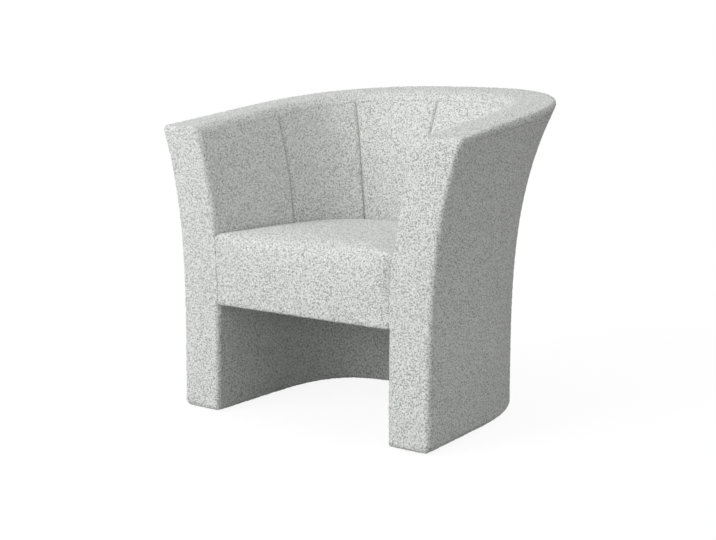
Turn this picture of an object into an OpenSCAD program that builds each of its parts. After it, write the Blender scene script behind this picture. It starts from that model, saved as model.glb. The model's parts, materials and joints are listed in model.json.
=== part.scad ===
// Tub chair: a U-shaped upholstered wall on the floor, with a tight sprung seat between its arms.
// Millimetres, +Z up. The chair faces -Y, and the origin is on the floor under the middle of its box.

/* [Wall plan] */
// Half width of the wall's outer face at the floor
floor_half_width = 337.5; // [300:0.5:380]
// Length of the straight side walls, from the front to where the back starts to curve
side_length = 204; // [170:1:260]
// Depth of the curved back at the floor, behind the side walls
back_depth = 356.5; // [320:0.5:400]
// How far each side wall leans in from the front to the back
toe_in = 13; // [0:0.5:30]
// Roundness of the plan: 2 is an ellipse, higher is squarer
plan_power = 2.75; // [2.2:0.05:3.2]

/* [Wall height and flare] */
// Height of the arm tops at the front
arm_height = 651; // [600:1:720]
// How much the rim climbs from the front to the back of the floor plan
rim_rise = 67.5; // [20:0.5:100]
// How far the sides flare out at the rim
side_flare = 69.5; // [40:0.5:90]
// How far the back leans out further than the sides
back_rake = 61; // [20:1:90]
// How far the walls draw in before they flare
waist_in = 5; // [0:0.5:10]
// How late the flare starts: higher keeps the lower wall upright for longer
flare_power = 3.7; // [2.5:0.1:5]
// How far the arm fronts lean back at the rim
front_lean = 11.5; // [0:0.5:25]

/* [Wall layers] */
// Thickness of the whole wall at the floor
wall_thickness = 103; // [90:1:120]
// Thickness of the whole wall at the rim
rim_thickness = 107.5; // [92:0.5:125]
// Thickness of the boucle covers
cover_t = 3.5; // [2:0.1:5]
// Thickness of the wadding on the outside of the wall
wadding_t = 6; // [4:0.5:10]
// Thickness of the fibreboard liners
liner_t = 3; // [2:0.5:5]
// Thickness of the foam on the inside back
back_foam_t = 25; // [15:1:30]
// Thickness of the wadding on the inner wall under the seat
lower_wadding_t = 8; // [4:0.5:14]
// Thickness of the foam on the arm fronts
arm_foam_t = 9; // [5:0.5:14]
// Height of the foam roll on the rim, with its cover
rim_roll_height = 38; // [34:1:46]

/* [Edges and seams] */
// Radius of the rim's outer edge
rim_outer_radius = 20; // [14:1:32]
// Radius of the rim's inner edge
rim_inner_radius = 17; // [10:1:24]
// Radius of the upright edges of the arm fronts
arm_edge_radius = 12; // [8:0.5:16]
// Radius at which the outer cover turns under at the floor
hem_radius = 16; // [10:0.5:20]
// Depth of the creases between the inside back panels
seam_dip = 4; // [1:0.5:6]

/* [Seat] */
// Height of the seat top at the arms, at the front
seat_front_height = 415; // [395:1:440]
// Height of the seat's front, from its top at the arms down to the underside of its apron
seat_block_height = 163.5; // [140:0.5:180]
// How much lower the seat top is at the back
seat_fall = 6; // [0:1:20]
// How much the middle of the seat stands above its edges
seat_crown = 15; // [5:1:30]
// Radius of the seat's front edge
seat_front_roll = 34; // [20:1:45]
// Radius of the seat's edge against the wall
seat_side_roll = 11; // [10:1:20]
// Thickness of the fibre wrap over the seat foam
seat_wrap_t = 10; // [6:1:14]
// Gap between the seat and the wall round it
seat_gap = 1; // [0.5:0.1:3]

/* [Frame] */
// Thickness of the plywood rings, ribs and posts
ply_t = 18; // [15:1:21]
// Thickness of the rails under the seat
rail_t = 25; // [20:1:30]
// How far the seat ring reaches in under the side rails
ring_lip = 46; // [40:1:60]
// Distance from the back rail's front to the inner face of the back, at the floor
back_rail_room = 91.5; // [80:0.5:110]
// Number of zigzag springs
spring_count = 5; // [3:1:6]
// Number of bends in each spring
spring_bends = 11; // [7:2:13]
// Diameter of the spring wire
spring_wire = 3.6; // [3:0.1:4.2]

/* [Base] */
// Height of the plastic glides
glide_height = 5; // [3:0.5:10]
// Diameter of the plastic glides
glide_diameter = 24; // [16:1:30]

/* [Hidden] */

// Clearance between soft layers and what they lie on
layer_gap = 0.3;
// Clearance round the frame inside its liners
frame_clear = 2;
// Step between the edges of layers that start one above the other
start_step = 5;
// Thickness of the black cloths underneath
cloth_t = 1;
// Height of the base ring's cloth above the hem of the outer cover
hem_drop = 1;
// Gap below the hem of the covers, which stop short of the floor
hem_height = glide_height - hem_drop;

// Depths of the wall's layers, inwards from the outer face
outer_wadding_d = cover_t + layer_gap;
outer_liner_d = outer_wadding_d + wadding_t + layer_gap;
frame_outer_d = outer_liner_d + liner_t + layer_gap;
// Depths of the wall's layers, outwards from the inner face
back_foam_d = cover_t + layer_gap;
inner_liner_d = back_foam_d + back_foam_t + layer_gap;
frame_inner_d = inner_liner_d + liner_t + layer_gap;
lower_wadding_d = cover_t + layer_gap;
lower_liner_d = lower_wadding_d + lower_wadding_t + layer_gap;
lower_frame_d = lower_liner_d + liner_t + layer_gap;
// Setbacks from the front plane
arm_foam_y = cover_t + layer_gap;
post_y = arm_foam_y + arm_foam_t + layer_gap;
edge_y = arm_edge_radius + layer_gap;
// Width of the fold between the seat's front apron and its tucked-in sides
fold_t = 0.5;
// Depths of the seat's layers
wrap_d = cover_t + 2 * layer_gap + fold_t;
seat_foam_d = wrap_d + seat_wrap_t + layer_gap;

// Heights of the frame
seat_underside = seat_front_height - seat_block_height;
base_cloth_z = glide_height;
base_ring_z = base_cloth_z + cloth_t + layer_gap;
base_ring_top = base_ring_z + ply_t;
dust_cloth_z = seat_underside + cover_t;
seat_ring_z = dust_cloth_z + cloth_t + layer_gap;
seat_ring_top = seat_ring_z + ply_t;
rail_height = 56;
rail_top = seat_ring_top + rail_height;
clip_t = 1.2;
spring_z = rail_top + clip_t + spring_wire / 2;
pad_t = 4;
pad_z = spring_z + spring_wire / 2 + clip_t + 2 * layer_gap;
seat_foam_z = pad_z + pad_t + layer_gap;
tuck_z = rail_top + layer_gap;

// Shares of the wall's height, which a level s gives: 0 is the floor and 1 the rim
rim_s = 1 - rim_outer_radius / arm_height;
rim_in_s = 1 - rim_inner_radius / arm_height;
roll_s = 1 - rim_roll_height / arm_height;
top_ring_s = roll_s - layer_gap / arm_height;
tuck_s = (tuck_z + start_step) / arm_height;
outer_level_shares = [0.18, 0.34, 0.46, 0.56, 0.65, 0.73, 0.8, 0.86, 0.91];
inner_level_shares = [0.58, 0.65, 0.73, 0.8, 0.86, 0.91];
// Places along the wall: 0 is the arm front, 1 the end of the straight side and 2 the middle of the back
arc_steps = 10;
front_seam_share = 1.11;
back_seam_low_share = 1.735;
back_seam_top_share = 1.622;
rib_shares = [0.6, 1.2, 1.5];
end_panel_shares = [0, 0.2, 0.45, 0.7, 0.92, 1];
panel_shares = [0, 0.09, 0.3, 0.5, 0.7, 0.91, 1];

floor_depth = side_length + back_depth;
back_rail_y = floor_depth - wall_thickness - back_rail_room;
toe = toe_in / (floor_half_width * floor_depth);
rim_slope = rim_rise / floor_depth;
lean_angle = atan(front_lean / arm_height);

// Facets round each edge of the rim
rim_turns = 3;
// Middle of the chair's depth, which becomes Y = 0
deepest = max(concat(
    [for (s = outer_level_shares) wall_point([1, 2, 2], outer_off(s), s, 0)[1]],
    [for (p = rim_chain(0, rim_turns)) rim_point([1, 2, 2], p, 0)[1]]
));
mid_y = (deepest + front_lean * hem_height / arm_height) / 2;

function sq(v) = v * v;
// Plan curve of the wall's outer face at the floor
function plan_y(q) = q <= 1 ? side_length * q
    : side_length + back_depth * pow(sin(90 * (q - 1)), 2 / plan_power);
function plan_x0(q) = floor_half_width * (q <= 1 ? 1 : pow(cos(90 * (q - 1)), 2 / plan_power));
function plan_x(q) = plan_x0(q) * (1 - toe * plan_y(q));
// Direction that points straight out of the plan curve
function grad_x(q) = (q <= 1 ? 1 : pow(cos(90 * (q - 1)), 2 - 2 / plan_power)) / floor_half_width;
function grad_y(q) = (q <= 1 ? 0 : pow(sin(90 * (q - 1)), 2 - 2 / plan_power)) / back_depth;
function plan_normal(q) = let (
        k = 1 - toe * plan_y(q),
        n = [grad_x(q) / k, grad_y(q) + grad_x(q) * plan_x0(q) * toe / k]
    ) n / norm(n);
// Offsets of the wall's faces from the plan curve at level s
function outer_off(s) = side_flare * pow(s, flare_power) - waist_in * s;
function wall_at(s) = wall_thickness + (rim_thickness - wall_thickness) * s;
function inner_off(s) = outer_off(s) - wall_at(s);
function rake(q, s) = back_rake * plan_normal(q)[1] * pow(s, flare_power);

// A column is [side, q low down, q at the rim], with side 1 on the right and -1 on the left
function col_q(col, s) = col[1] + (col[2] - col[1]) * (s - tuck_s) / (1 - tuck_s);
function plan_point(q, side, r) = let (n = plan_normal(q))
    [side * (plan_x(q) + n[0] * r), plan_y(q) + n[1] * r];
function front_point(side, r, y) = let (n = plan_normal(0)) [side * (plan_x(0) + (r - n[1] * y) / n[0]), y];
function wall_xy(col, r, s, setback) = col[1] == 0 ? front_point(col[0], r, front_lean * s + setback)
    : plan_point(col_q(col, s), col[0], r);
function lift(p, s) = [p[0], p[1], s * (arm_height + rim_slope * p[1])];
function wall_point(col, off, s, setback) = lift(wall_xy(col, off + rake(col_q(col, s), s), s, setback), s);
// Level at which a column passes the height z on the inner face
function level_at(col, z) = let (
        s1 = z / (arm_height + rim_slope * plan_y(col[1])),
        y2 = wall_xy(col, inner_off(s1) + rake(col_q(col, s1), s1), s1, 0)[1]
    ) z / (arm_height + rim_slope * y2);
function inner_point_z(col, d, z, setback) = let (
        s = level_at(col, z),
        p = wall_xy(col, inner_off(s) + d + rake(col_q(col, s), s), s, setback)
    ) [p[0], p[1], z];

// Columns from the right arm front, round the back, to the left arm front
function both_sides(half) = concat(
    [for (c = half) [1, c[0], c[1]]],
    [for (i = [len(half) - 2:-1:0]) [-1, half[i][0], half[i][1]]]
);
outer_cols = both_sides(concat([[0, 0], [1, 1]],
    [for (k = [1:arc_steps]) [1 + k / arc_steps, 1 + k / arc_steps]]));
seam_qs = [[0, 0], [front_seam_share, front_seam_share], [back_seam_low_share, back_seam_top_share], [2, 2]];
function panel_cols(k) = [for (f = k == 0 ? end_panel_shares : panel_shares)
    seam_qs[k] + (seam_qs[k + 1] - seam_qs[k]) * f];
// The creases run out under the rim
crease_full_share = 0.86;
function crease_fade(s) = max(0, min(1, (foam_top_s - s) / (foam_top_s - crease_full_share)));
// Crease depth across a panel: full at each seam and none in the middle
crease_power = 8;
function crease(f) = pow(abs(2 * f - 1), crease_power);
function panel_creases(k) = [for (f = k == 0 ? end_panel_shares : panel_shares)
    k == 0 && f < 0.5 ? 0 : seam_dip * crease(f)];
half_cols = concat([[0, 0]], [for (k = [0:2]) for (i = [1:len(panel_cols(k)) - 1]) panel_cols(k)[i]]);
half_creases = concat([0], [for (k = [0:2]) for (i = [1:len(panel_cols(k)) - 1]) panel_creases(k)[i]]);
inner_cols = both_sides(half_cols);
inner_creases = concat(half_creases, [for (i = [len(half_creases) - 2:-1:0]) half_creases[i]]);

// Closed solid between two grids of points with as many rows and columns each
module grid_solid(a, b) {
    n = len(a);
    m = len(a[0]);
    k = n * m;
    points = concat([for (c = a) each c], [for (c = b) each c]);
    faces = concat(
        [for (i = [0:n - 2]) for (j = [0:m - 2]) let (p = i * m + j) each [
            [p, p + 1, p + m + 1], [p, p + m + 1, p + m],
            [k + p, k + p + m + 1, k + p + 1], [k + p, k + p + m, k + p + m + 1]]],
        [for (i = [0:n - 2]) let (p = i * m, t = i * m + m - 1) each [
            [p, p + m, k + p + m], [p, k + p + m, k + p],
            [t + m, t, k + t], [t + m, k + t, k + t + m]]],
        [for (j = [0:m - 2]) let (p = j, t = (n - 1) * m + j) each [
            [p + 1, p, k + p], [p + 1, k + p, k + p + 1],
            [t, t + 1, k + t], [t + 1, k + t + 1, k + t]]]
    );
    polyhedron(points, faces);
}

// Closed solid under a dome of rings, which run counterclockwise from the bottom up to a top point
module dome_solid(rings, top, inner_rings, inner_top) {
    n = len(rings[0]);
    m = len(rings);
    k = n * m + 1;
    hollow = len(inner_rings) > 0;
    points = concat([for (r = rings) each r], [top], [for (r = inner_rings) each r], [inner_top]);
    faces = concat(
        [for (j = [0:m - 2]) for (i = [0:n - 1]) let (p = j * n + i, r = j * n + (i + 1) % n) each [
            [p, p + n, r + n], [p, r + n, r]]],
        [for (i = [0:n - 1]) let (t = (m - 1) * n) [t + (i + 1) % n, t + i, n * m]],
        hollow ? [for (j = [0:m - 2]) for (i = [0:n - 1])
            let (p = k + j * n + i, r = k + j * n + (i + 1) % n) each [[p, r + n, p + n], [p, r, r + n]]] : [],
        hollow ? [for (i = [0:n - 1]) let (t = k + (m - 1) * n) [t + i, t + (i + 1) % n, k + n * m]] : [],
        hollow ? [for (i = [0:n - 1]) let (r = (i + 1) % n) each [[i, r, k + r], [i, k + r, k + i]]]
            : [for (i = [0:n - 1]) [i, (i + 1) % n, k]]
    );
    polyhedron(points, faces);
}

// Sheet that follows the outer face between two depths, over the rows [depth from, depth to, level]
module outer_sheet(rows, setback) {
    a = [for (c = outer_cols) [for (r = rows) wall_point(c, outer_off(r[0][1]) - r[0][0], r[0][1], setback)]];
    b = [for (c = outer_cols) [for (r = rows) wall_point(c, outer_off(r[1][1]) - r[1][0], r[1][1], setback)]];
    grid_solid(a, b);
}
function plain_rows(levels, d, t) = [for (s = levels) [[d, s], [d + t, s]]];

// Sheet that follows the inner face above the seat, from depth d to d + t behind it.
// Its front and its back each follow the creases or stay plain, as 1 or 0 says.
function inner_face(first, last, levels, d, creased, setback) = [for (i = [first:last]) [for (s = levels)
    wall_point(inner_cols[i], inner_off(s) + d + creased * inner_creases[i] * crease_fade(s), s, setback)]];
module inner_sheet(first, last, levels, d, t, front_creased, back_creased, setback)
    grid_solid(inner_face(first, last, levels, d + t, back_creased, setback),
        inner_face(first, last, levels, d, front_creased, setback));

// Sheet that follows the inner face under the seat
module lower_sheet(d, t, heights, setback) {
    a = [for (c = outer_cols) [for (z = heights) inner_point_z(c, d + t, z, setback)]];
    b = [for (c = outer_cols) [for (z = heights) inner_point_z(c, d, z, setback)]];
    grid_solid(a, b);
}

module chair() { translate([0, -mid_y, 0]) children(); }

// Outline of a flat ring between two lists of plan points
function ring_outline(outer, inner) = concat(outer, [for (i = [len(inner) - 1:-1:0]) inner[i]]);

// Covers

// Turns round the hem's edge, from the floor up to the upright wall
hem_turns = [15, 45];
function hem_row(angle, radius) = [
    hem_radius - radius * sin(angle),
    (hem_height + hem_radius - radius * cos(angle)) / arm_height
];
module outer_cover() color("gainsboro") chair() {
    rows = concat(
        [for (angle = hem_turns) [hem_row(angle, hem_radius), hem_row(angle, hem_radius - cover_t)]],
        plain_rows(concat([(hem_height + hem_radius) / arm_height], outer_level_shares,
            [rim_s - layer_gap / arm_height]), 0, cover_t)
    );
    outer_sheet(rows, edge_y);
}

// Cross-section of the rim at distance t under its surface: [depth inwards, level]
function rim_chain(t, turns) = concat(
    [for (k = [0:turns]) let (a = 90 * k / turns, r = rim_outer_radius - t)
        [rim_outer_radius - r * cos(a), 1 - (rim_outer_radius - r * sin(a)) / arm_height]],
    [for (k = [turns:-1:0]) let (a = 90 * k / turns, r = rim_inner_radius - t)
        [rim_thickness - rim_inner_radius + r * cos(a), 1 - (rim_inner_radius - r * sin(a)) / arm_height]]
);
// The wall's thickness differs a little between the rim and the level of a point
function rim_point(col, p, setback) = wall_point(col, outer_off(p[1])
    - p[0] * wall_at(p[1]) / rim_thickness, p[1], setback);
module rim_cover() color("gainsboro") chair() {
    a = [for (c = outer_cols) [for (p = rim_chain(0, rim_turns)) rim_point(c, p, edge_y)]];
    b = [for (c = outer_cols) [for (p = rim_chain(cover_t, rim_turns)) rim_point(c, p, edge_y)]];
    grid_solid(a, b);
}

module rim_foam() color("lightyellow") chair() {
    chain = rim_chain(cover_t + layer_gap, rim_turns);
    inner_d = rim_thickness - back_foam_d - frame_clear;
    top = concat([[back_foam_d, roll_s]], [for (i = [0:len(chain) - 2]) chain[i]],
        [[inner_d, rim_in_s], [inner_d, roll_s]]);
    last = len(top) - 1;
    a = [for (c = outer_cols) [for (p = top) rim_point(c, p, post_y)]];
    b = [for (c = outer_cols) [for (i = [0:last])
        rim_point(c, [top[0][0] + (top[last][0] - top[0][0]) * i / last, roll_s], post_y)]];
    rim_lump(a, b);
}
// Closed solid between a curved sheet and the flat strip that joins its first and last rows
module rim_lump(a, b) {
    n = len(a);
    m = len(a[0]);
    inner = [for (c = b) [for (j = [1:m - 2]) c[j]]];
    k = n * m;
    w = m - 2;
    points = concat([for (c = a) each c], [for (c = inner) each c]);
    function low(i, j) = j == 0 ? i * m : j == m - 1 ? i * m + m - 1 : k + i * w + j - 1;
    faces = concat(
        [for (i = [0:n - 2]) for (j = [0:m - 2]) let (p = i * m + j) each [
            [p, p + 1, p + m + 1], [p, p + m + 1, p + m]]],
        [for (i = [0:n - 2]) for (j = [0:m - 2]) each [
            [low(i, j), low(i + 1, j + 1), low(i, j + 1)], [low(i, j), low(i + 1, j), low(i + 1, j + 1)]]],
        [for (j = [0:m - 2]) each concat(
            j == m - 2 ? [] : [[j + 1, low(0, j), low(0, j + 1)]],
            j == 0 ? [] : [[j + 1, j, low(0, j)]])],
        [for (j = [0:m - 2]) let (t = (n - 1) * m + j) each concat(
            j == m - 2 ? [] : [[t + 1, low(n - 1, j + 1), low(n - 1, j)]],
            j == 0 ? [] : [[t + 1, low(n - 1, j), t]])]
    );
    polyhedron(points, faces);
}

// Arm fronts: a tray over the end of the wall with rolled edges
function roll_back(distance, radius) = distance >= radius ? 0
    : radius - sqrt(max(0, sq(radius) - sq(radius - distance)));
edge_turn = 45;
function across(low, high, radius) = [
    low, low + radius * (1 - cos(edge_turn)), low + radius, (low + high) / 2,
    high - radius, high - radius * (1 - cos(edge_turn)), high
];
function tray_row(drop, shrink, back) = let (
        s = 1 - drop / arm_height,
        width = wall_at(s),
        over_hem = arm_height - drop - hem_height,
        low = shrink + max(roll_back(drop - shrink, rim_outer_radius - shrink),
            roll_back(over_hem - shrink, hem_radius - shrink)),
        high = width - shrink - roll_back(drop - shrink, rim_inner_radius - shrink),
        radius = arm_edge_radius - shrink
    ) [for (d = across(low, high, radius)) let (
            reach = min(d - low, high - d, drop - shrink),
            p = front_point(1, outer_off(s) - d + rake(0, s), front_lean * s + back + roll_back(reach, radius))
        ) lift(p, s)];
tray_drops = concat(
    [for (turn = concat(hem_turns, [90])) arm_height - hem_height - hem_radius * (1 - cos(turn))],
    [for (s = outer_level_shares) (1 - s) * arm_height],
    [rim_outer_radius, (rim_outer_radius + arm_edge_radius) / 2, arm_edge_radius]
);
tray_steps = [0.3, 0];
function tray(shrink) = concat(
    [for (drop = tray_drops) tray_row(drop, shrink, shrink)],
    [for (k = tray_steps) tray_row(shrink + (arm_edge_radius - shrink) * k, shrink, shrink)]
);
function across_first(grid) = [for (i = [0:len(grid[0]) - 1]) [for (j = [0:len(grid) - 1]) grid[j][i]]];
module arm_front_cover() grid_solid(across_first(tray(cover_t)), across_first(tray(0)));
module arm_front_cover_right() color("gainsboro") chair() arm_front_cover();
module arm_front_cover_left() color("gainsboro") chair() mirror([1, 0, 0]) arm_front_cover();

module arm_front_foam() {
    drops = concat([arm_height - hem_height - hem_radius], [for (s = outer_level_shares) (1 - s) * arm_height],
        [rim_roll_height, rim_outer_radius, arm_edge_radius + layer_gap]);
    shrink = cover_t + 2 * layer_gap;
    a = [for (drop = drops) tray_row(drop, shrink, shrink)];
    b = [for (j = [0:len(drops) - 1]) [for (p = a[j]) [p[0], front_lean * (1 - drops[j] / arm_height)
        + post_y - layer_gap, p[2]]]];
    grid_solid(across_first(b), across_first(a));
}
module arm_front_foam_right() color("lightyellow") chair() arm_front_foam();
module arm_front_foam_left() color("lightyellow") chair() mirror([1, 0, 0]) arm_front_foam();

// Inside panels

upper_levels = concat([tuck_s], inner_level_shares);
panel_top_s = rim_in_s - layer_gap / arm_height;
foam_top_s = roll_s - layer_gap / arm_height;
panel_first = [0, 5, 11, 17, 23, 29, 34];
module inside_panel(i) color("whitesmoke") chair()
    inner_sheet(panel_first[i - 1], panel_first[i], concat(upper_levels, [foam_top_s, panel_top_s]),
        0, cover_t, 1, 1, edge_y);
last_col = len(inner_cols) - 1;
module inside_back_foam() color("lightyellow") chair()
    inner_sheet(0, last_col, concat(upper_levels, [foam_top_s]), back_foam_d, back_foam_t, 1, 0, post_y);
module upper_inner_liner() color("peru") chair()
    inner_sheet(0, last_col, concat(upper_levels, [foam_top_s]), inner_liner_d, liner_t, 0, 0, post_y);

// Layers of the outside

hem_top = hem_height + hem_radius;
wadding_levels = concat([(hem_top + start_step) / arm_height], outer_level_shares, [foam_top_s]);
liner_levels = concat([hem_top / arm_height], outer_level_shares, [foam_top_s]);
module outer_wadding() color("white") chair()
    outer_sheet(plain_rows(wadding_levels, outer_wadding_d, wadding_t), post_y);
module outer_liner() color("peru") chair()
    outer_sheet(plain_rows(liner_levels, outer_liner_d, liner_t), post_y);

// Layers of the inner wall under the seat

lower_top = seat_ring_z - layer_gap;
lower_row_shares = [0.457, 0.863];
lower_rows = lower_row_shares * lower_top;
module lower_inside_cover() color("whitesmoke") chair()
    lower_sheet(0, cover_t, concat([hem_height], lower_rows, [lower_top]), edge_y);
module lower_inside_wadding() color("white") chair()
    lower_sheet(lower_wadding_d, lower_wadding_t, concat([base_ring_z], lower_rows, [lower_top]), post_y);
module lower_inner_liner() color("peru") chair()
    lower_sheet(lower_liner_d, liner_t, concat([base_ring_z], lower_rows, [lower_top]), post_y);

// Plywood frame

function flat_points(cols, r_at, setback, s) = [for (c = cols)
    wall_xy(c, r_at + rake(col_q(c, s), s), s, setback)];
base_outline = let (s = base_ring_z / arm_height) ring_outline(
    flat_points(outer_cols, outer_off(s) - frame_outer_d, post_y + layer_gap, s),
    flat_points(outer_cols, inner_off(s) + lower_frame_d, post_y + layer_gap, s)
);
module base_ring() color("burlywood") chair() difference() {
    translate([0, 0, base_ring_z]) linear_extrude(ply_t) polygon(base_outline);
    staple_legs(staple_clear);
    glide_nails(staple_clear);
}

// The seat ring reaches in under the side rails, and at the back it is a shelf up to the back rail
seat_ring_s = seat_ring_z / arm_height;
post_back_y = front_lean * seat_ring_s + post_y + ply_t + 2 * layer_gap;
front_rail_y = front_lean * rail_top / arm_height + wrap_d + seat_wrap_t + layer_gap;
front_rail_back = front_rail_y + rail_t;
post_inner_x = plan_x(0) + inner_off(seat_ring_s) + frame_inner_d;
lip_x = post_inner_x - ring_lip;
function lip_x_at(y) = lip_x - toe_in * y / floor_depth;
module seat_ring() color("burlywood") chair() {
    outer = flat_points(outer_cols, outer_off(seat_ring_s) - frame_outer_d - frame_clear,
        post_y + ply_t + 2 * layer_gap, seat_ring_s);
    notch_y = front_rail_back + layer_gap;
    half = [[post_inner_x, post_back_y], [post_inner_x, notch_y], [lip_x_at(notch_y), notch_y],
        [lip_x_at(back_rail_y), back_rail_y]];
    inner = concat(half, [for (i = [len(half) - 1:-1:0]) [-half[i][0], half[i][1]]]);
    difference() {
        translate([0, 0, seat_ring_z]) linear_extrude(ply_t) polygon(ring_outline(outer, inner));
        ring_screws(screw_clear);
    }
}

top_ring_low_s = top_ring_s - ply_t / arm_height;
top_ring_angle = atan(rim_slope * top_ring_s);
top_ring_y = post_y + 2 * layer_gap;
top_outline = ring_outline(
    flat_points(outer_cols, outer_off(top_ring_low_s) - frame_outer_d - frame_clear, top_ring_y,
        top_ring_low_s),
    flat_points(outer_cols, inner_off(top_ring_s) + frame_inner_d + frame_clear, top_ring_y, top_ring_s)
);
module top_ring_space(height, drop) translate([0, 0, top_ring_s * arm_height]) rotate([top_ring_angle, 0, 0])
    translate([0, 0, -drop]) linear_extrude(height) children();
module top_ring() color("burlywood") chair()
    top_ring_space(ply_t, ply_t) polygon([for (p = top_outline) [p[0], p[1] / cos(top_ring_angle)]]);
// All that lies above the underside of the top ring
module above_top_ring() top_ring_space(arm_height, ply_t)
    translate([-arm_height, -arm_height]) square([2 * arm_height, 3 * arm_height]);

// Arm posts: upright plywood with the outline of the arm
post_shares = [0.1, 0.25, 0.4, 0.5, 0.6, 0.7, 0.78, 0.85, 0.92];
module arm_post() {
    levels = concat([base_ring_top / arm_height], post_shares, [1]);
    mid_x = plan_x(0);
    outer_d = frame_outer_d + 2 * frame_clear;
    outer = [for (s = levels) [mid_x + outer_off(s) + rake(0, s) - outer_d, s * arm_height]];
    inner = [for (s = levels) [mid_x + inner_off(s) + rake(0, s) + frame_inner_d, s * arm_height]];
    foot_y = front_lean * base_ring_top / arm_height + post_y;
    difference() {
        translate([0, foot_y, base_ring_top]) rotate([-lean_angle, 0, 0])
            translate([0, ply_t, -base_ring_top]) rotate([90, 0, 0]) linear_extrude(ply_t)
                polygon(ring_outline(outer, inner));
        above_top_ring();
        post_screws(screw_clear);
        translate([-arm_height, -arm_height, base_ring_top - arm_height]) cube([2, 2, 1] * arm_height);
    }
}
module arm_post_right() color("burlywood") chair() arm_post();
module arm_post_left() color("burlywood") chair() mirror([1, 0, 0]) arm_post();

// Ribs stand square to the wall, from ring to ring
rib_places = concat([for (q = rib_shares) [1, q]], [[1, 2]], [for (i = [2:-1:0]) [-1, rib_shares[i]]]);
lower_rib_shares = [0, 0.15, 0.3, 0.5];
upper_rib_shares = concat([seat_ring_s], [for (s = post_shares) if (s > seat_ring_s) s], [1]);
module rib_prism(q, levels, inner_d) {
    n = plan_normal(q);
    function rise(r, s) = s * (arm_height + rim_slope * (plan_y(q) + n[1] * r));
    outer_d = frame_outer_d + frame_clear;
    outer = [for (s = levels) let (r = outer_off(s) + rake(q, s) - outer_d) [r, rise(r, s)]];
    inner = [for (s = levels) let (r = inner_off(s) + rake(q, s) + inner_d + layer_gap) [r, rise(r, s)]];
    translate([plan_x(q), plan_y(q), 0]) rotate([0, 0, atan2(n[1], n[0])]) rotate([90, 0, 0])
        translate([0, 0, -ply_t / 2]) linear_extrude(ply_t) polygon(ring_outline(outer, inner));
}
module lower_rib(i) color("burlywood") chair() {
    place = rib_places[i - 1];
    mirror([place[0] < 0 ? 1 : 0, 0, 0]) intersection() {
        rib_prism(place[1], lower_rib_shares, lower_frame_d + frame_clear);
        translate([-arm_height, -arm_height, base_ring_top])
            cube([2 * arm_height, 3 * arm_height, seat_ring_z - base_ring_top]);
    }
}
module upper_rib(i) color("burlywood") chair() {
    place = rib_places[i - 1];
    mirror([place[0] < 0 ? 1 : 0, 0, 0]) difference() {
        rib_prism(place[1], upper_rib_shares, frame_inner_d + layer_gap);
        translate([-arm_height, -arm_height, seat_ring_top - arm_height])
            cube([2 * arm_height, 3 * arm_height, arm_height]);
        above_top_ring();
    }
}

// Seat frame

module seat_front_rail() color("tan") chair() {
    reach = post_inner_x - layer_gap;
    difference() {
        translate([-reach, front_rail_y, seat_ring_z]) cube([2 * reach, rail_t, rail_height + ply_t]);
        post_screws(screw_clear);
    }
}
side_rail_share = 0.15;
side_rail_x = lip_x + ring_lip * side_rail_share;
side_rail_angle = atan(toe_in / floor_depth);
module side_rail() {
    length = back_rail_y - front_rail_back - rail_t * sin(side_rail_angle);
    difference() {
        translate([side_rail_x, front_rail_back + rail_t * sin(side_rail_angle), seat_ring_top])
            rotate([0, 0, side_rail_angle]) translate([0, -rail_t * sin(side_rail_angle), 0])
                cube([rail_t, length, rail_height]);
        ring_screws(screw_clear);
    }
}
module seat_side_rail_right() color("tan") chair() side_rail();
module seat_side_rail_left() color("tan") chair() mirror([1, 0, 0]) side_rail();
module seat_back_rail() color("tan") chair() {
    reach = side_rail_x - toe_in + rail_t;
    difference() {
        translate([-reach, back_rail_y + layer_gap, seat_ring_top]) cube([2 * reach, rail_t, rail_height]);
        ring_screws(screw_clear);
    }
}
block_leg = 45;
block_height = 40;
module corner_blocks() color("tan") chair() for (side = [1, -1]) {
    front_x = side_rail_x - layer_gap;
    back_x = side_rail_x - toe_in * (back_rail_y - front_rail_back) / floor_depth - layer_gap;
    step = toe_in * block_leg / floor_depth;
    mirror([side < 0 ? 1 : 0, 0, 0]) translate([0, 0, rail_top - block_height]) linear_extrude(block_height) {
        polygon([[front_x, front_rail_back], [front_x - block_leg, front_rail_back],
            [front_x - step, front_rail_back + block_leg]]);
        polygon([[back_x, back_rail_y], [back_x - block_leg, back_rail_y],
            [back_x + step, back_rail_y - block_leg]]);
    }
}

// Screws through the seat ring into the rails, and through the posts into the front rail
screw_d = 4.5;
screw_head_d = 9;
screw_head_h = 3;
ring_screw_length = 45;
post_screw_length = 95;
screw_clear = 0.1;
ring_screw_shares = [0.12, 0.5, 0.88];
back_screw_shares = [0.3, 0.75];
post_screw_shares = [0.3, 0.75];
round_facets = 24;
module screw(length, clear) {
    cylinder(h = length + clear, d = screw_d + 2 * clear, $fn = round_facets);
    cylinder(h = screw_head_h, d1 = screw_head_d + 2 * clear, d2 = screw_d + 2 * clear, $fn = round_facets);
}
module ring_screws(clear) translate([0, 0, seat_ring_z]) for (side = [1, -1]) {
    for (f = ring_screw_shares) {
        y = front_rail_back + (back_rail_y - front_rail_back) * f;
        x = lip_x_at(y) + ring_lip * side_rail_share + rail_t / 2;
        translate([side * x, y, 0]) screw(ring_screw_length, clear);
    }
    for (f = back_screw_shares) translate([side * side_rail_x * f, back_rail_y + layer_gap + rail_t / 2, 0])
        screw(ring_screw_length, clear);
}
post_screw_y = front_rail_y + (post_back_y - layer_gap - front_rail_y) / 2;
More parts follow.
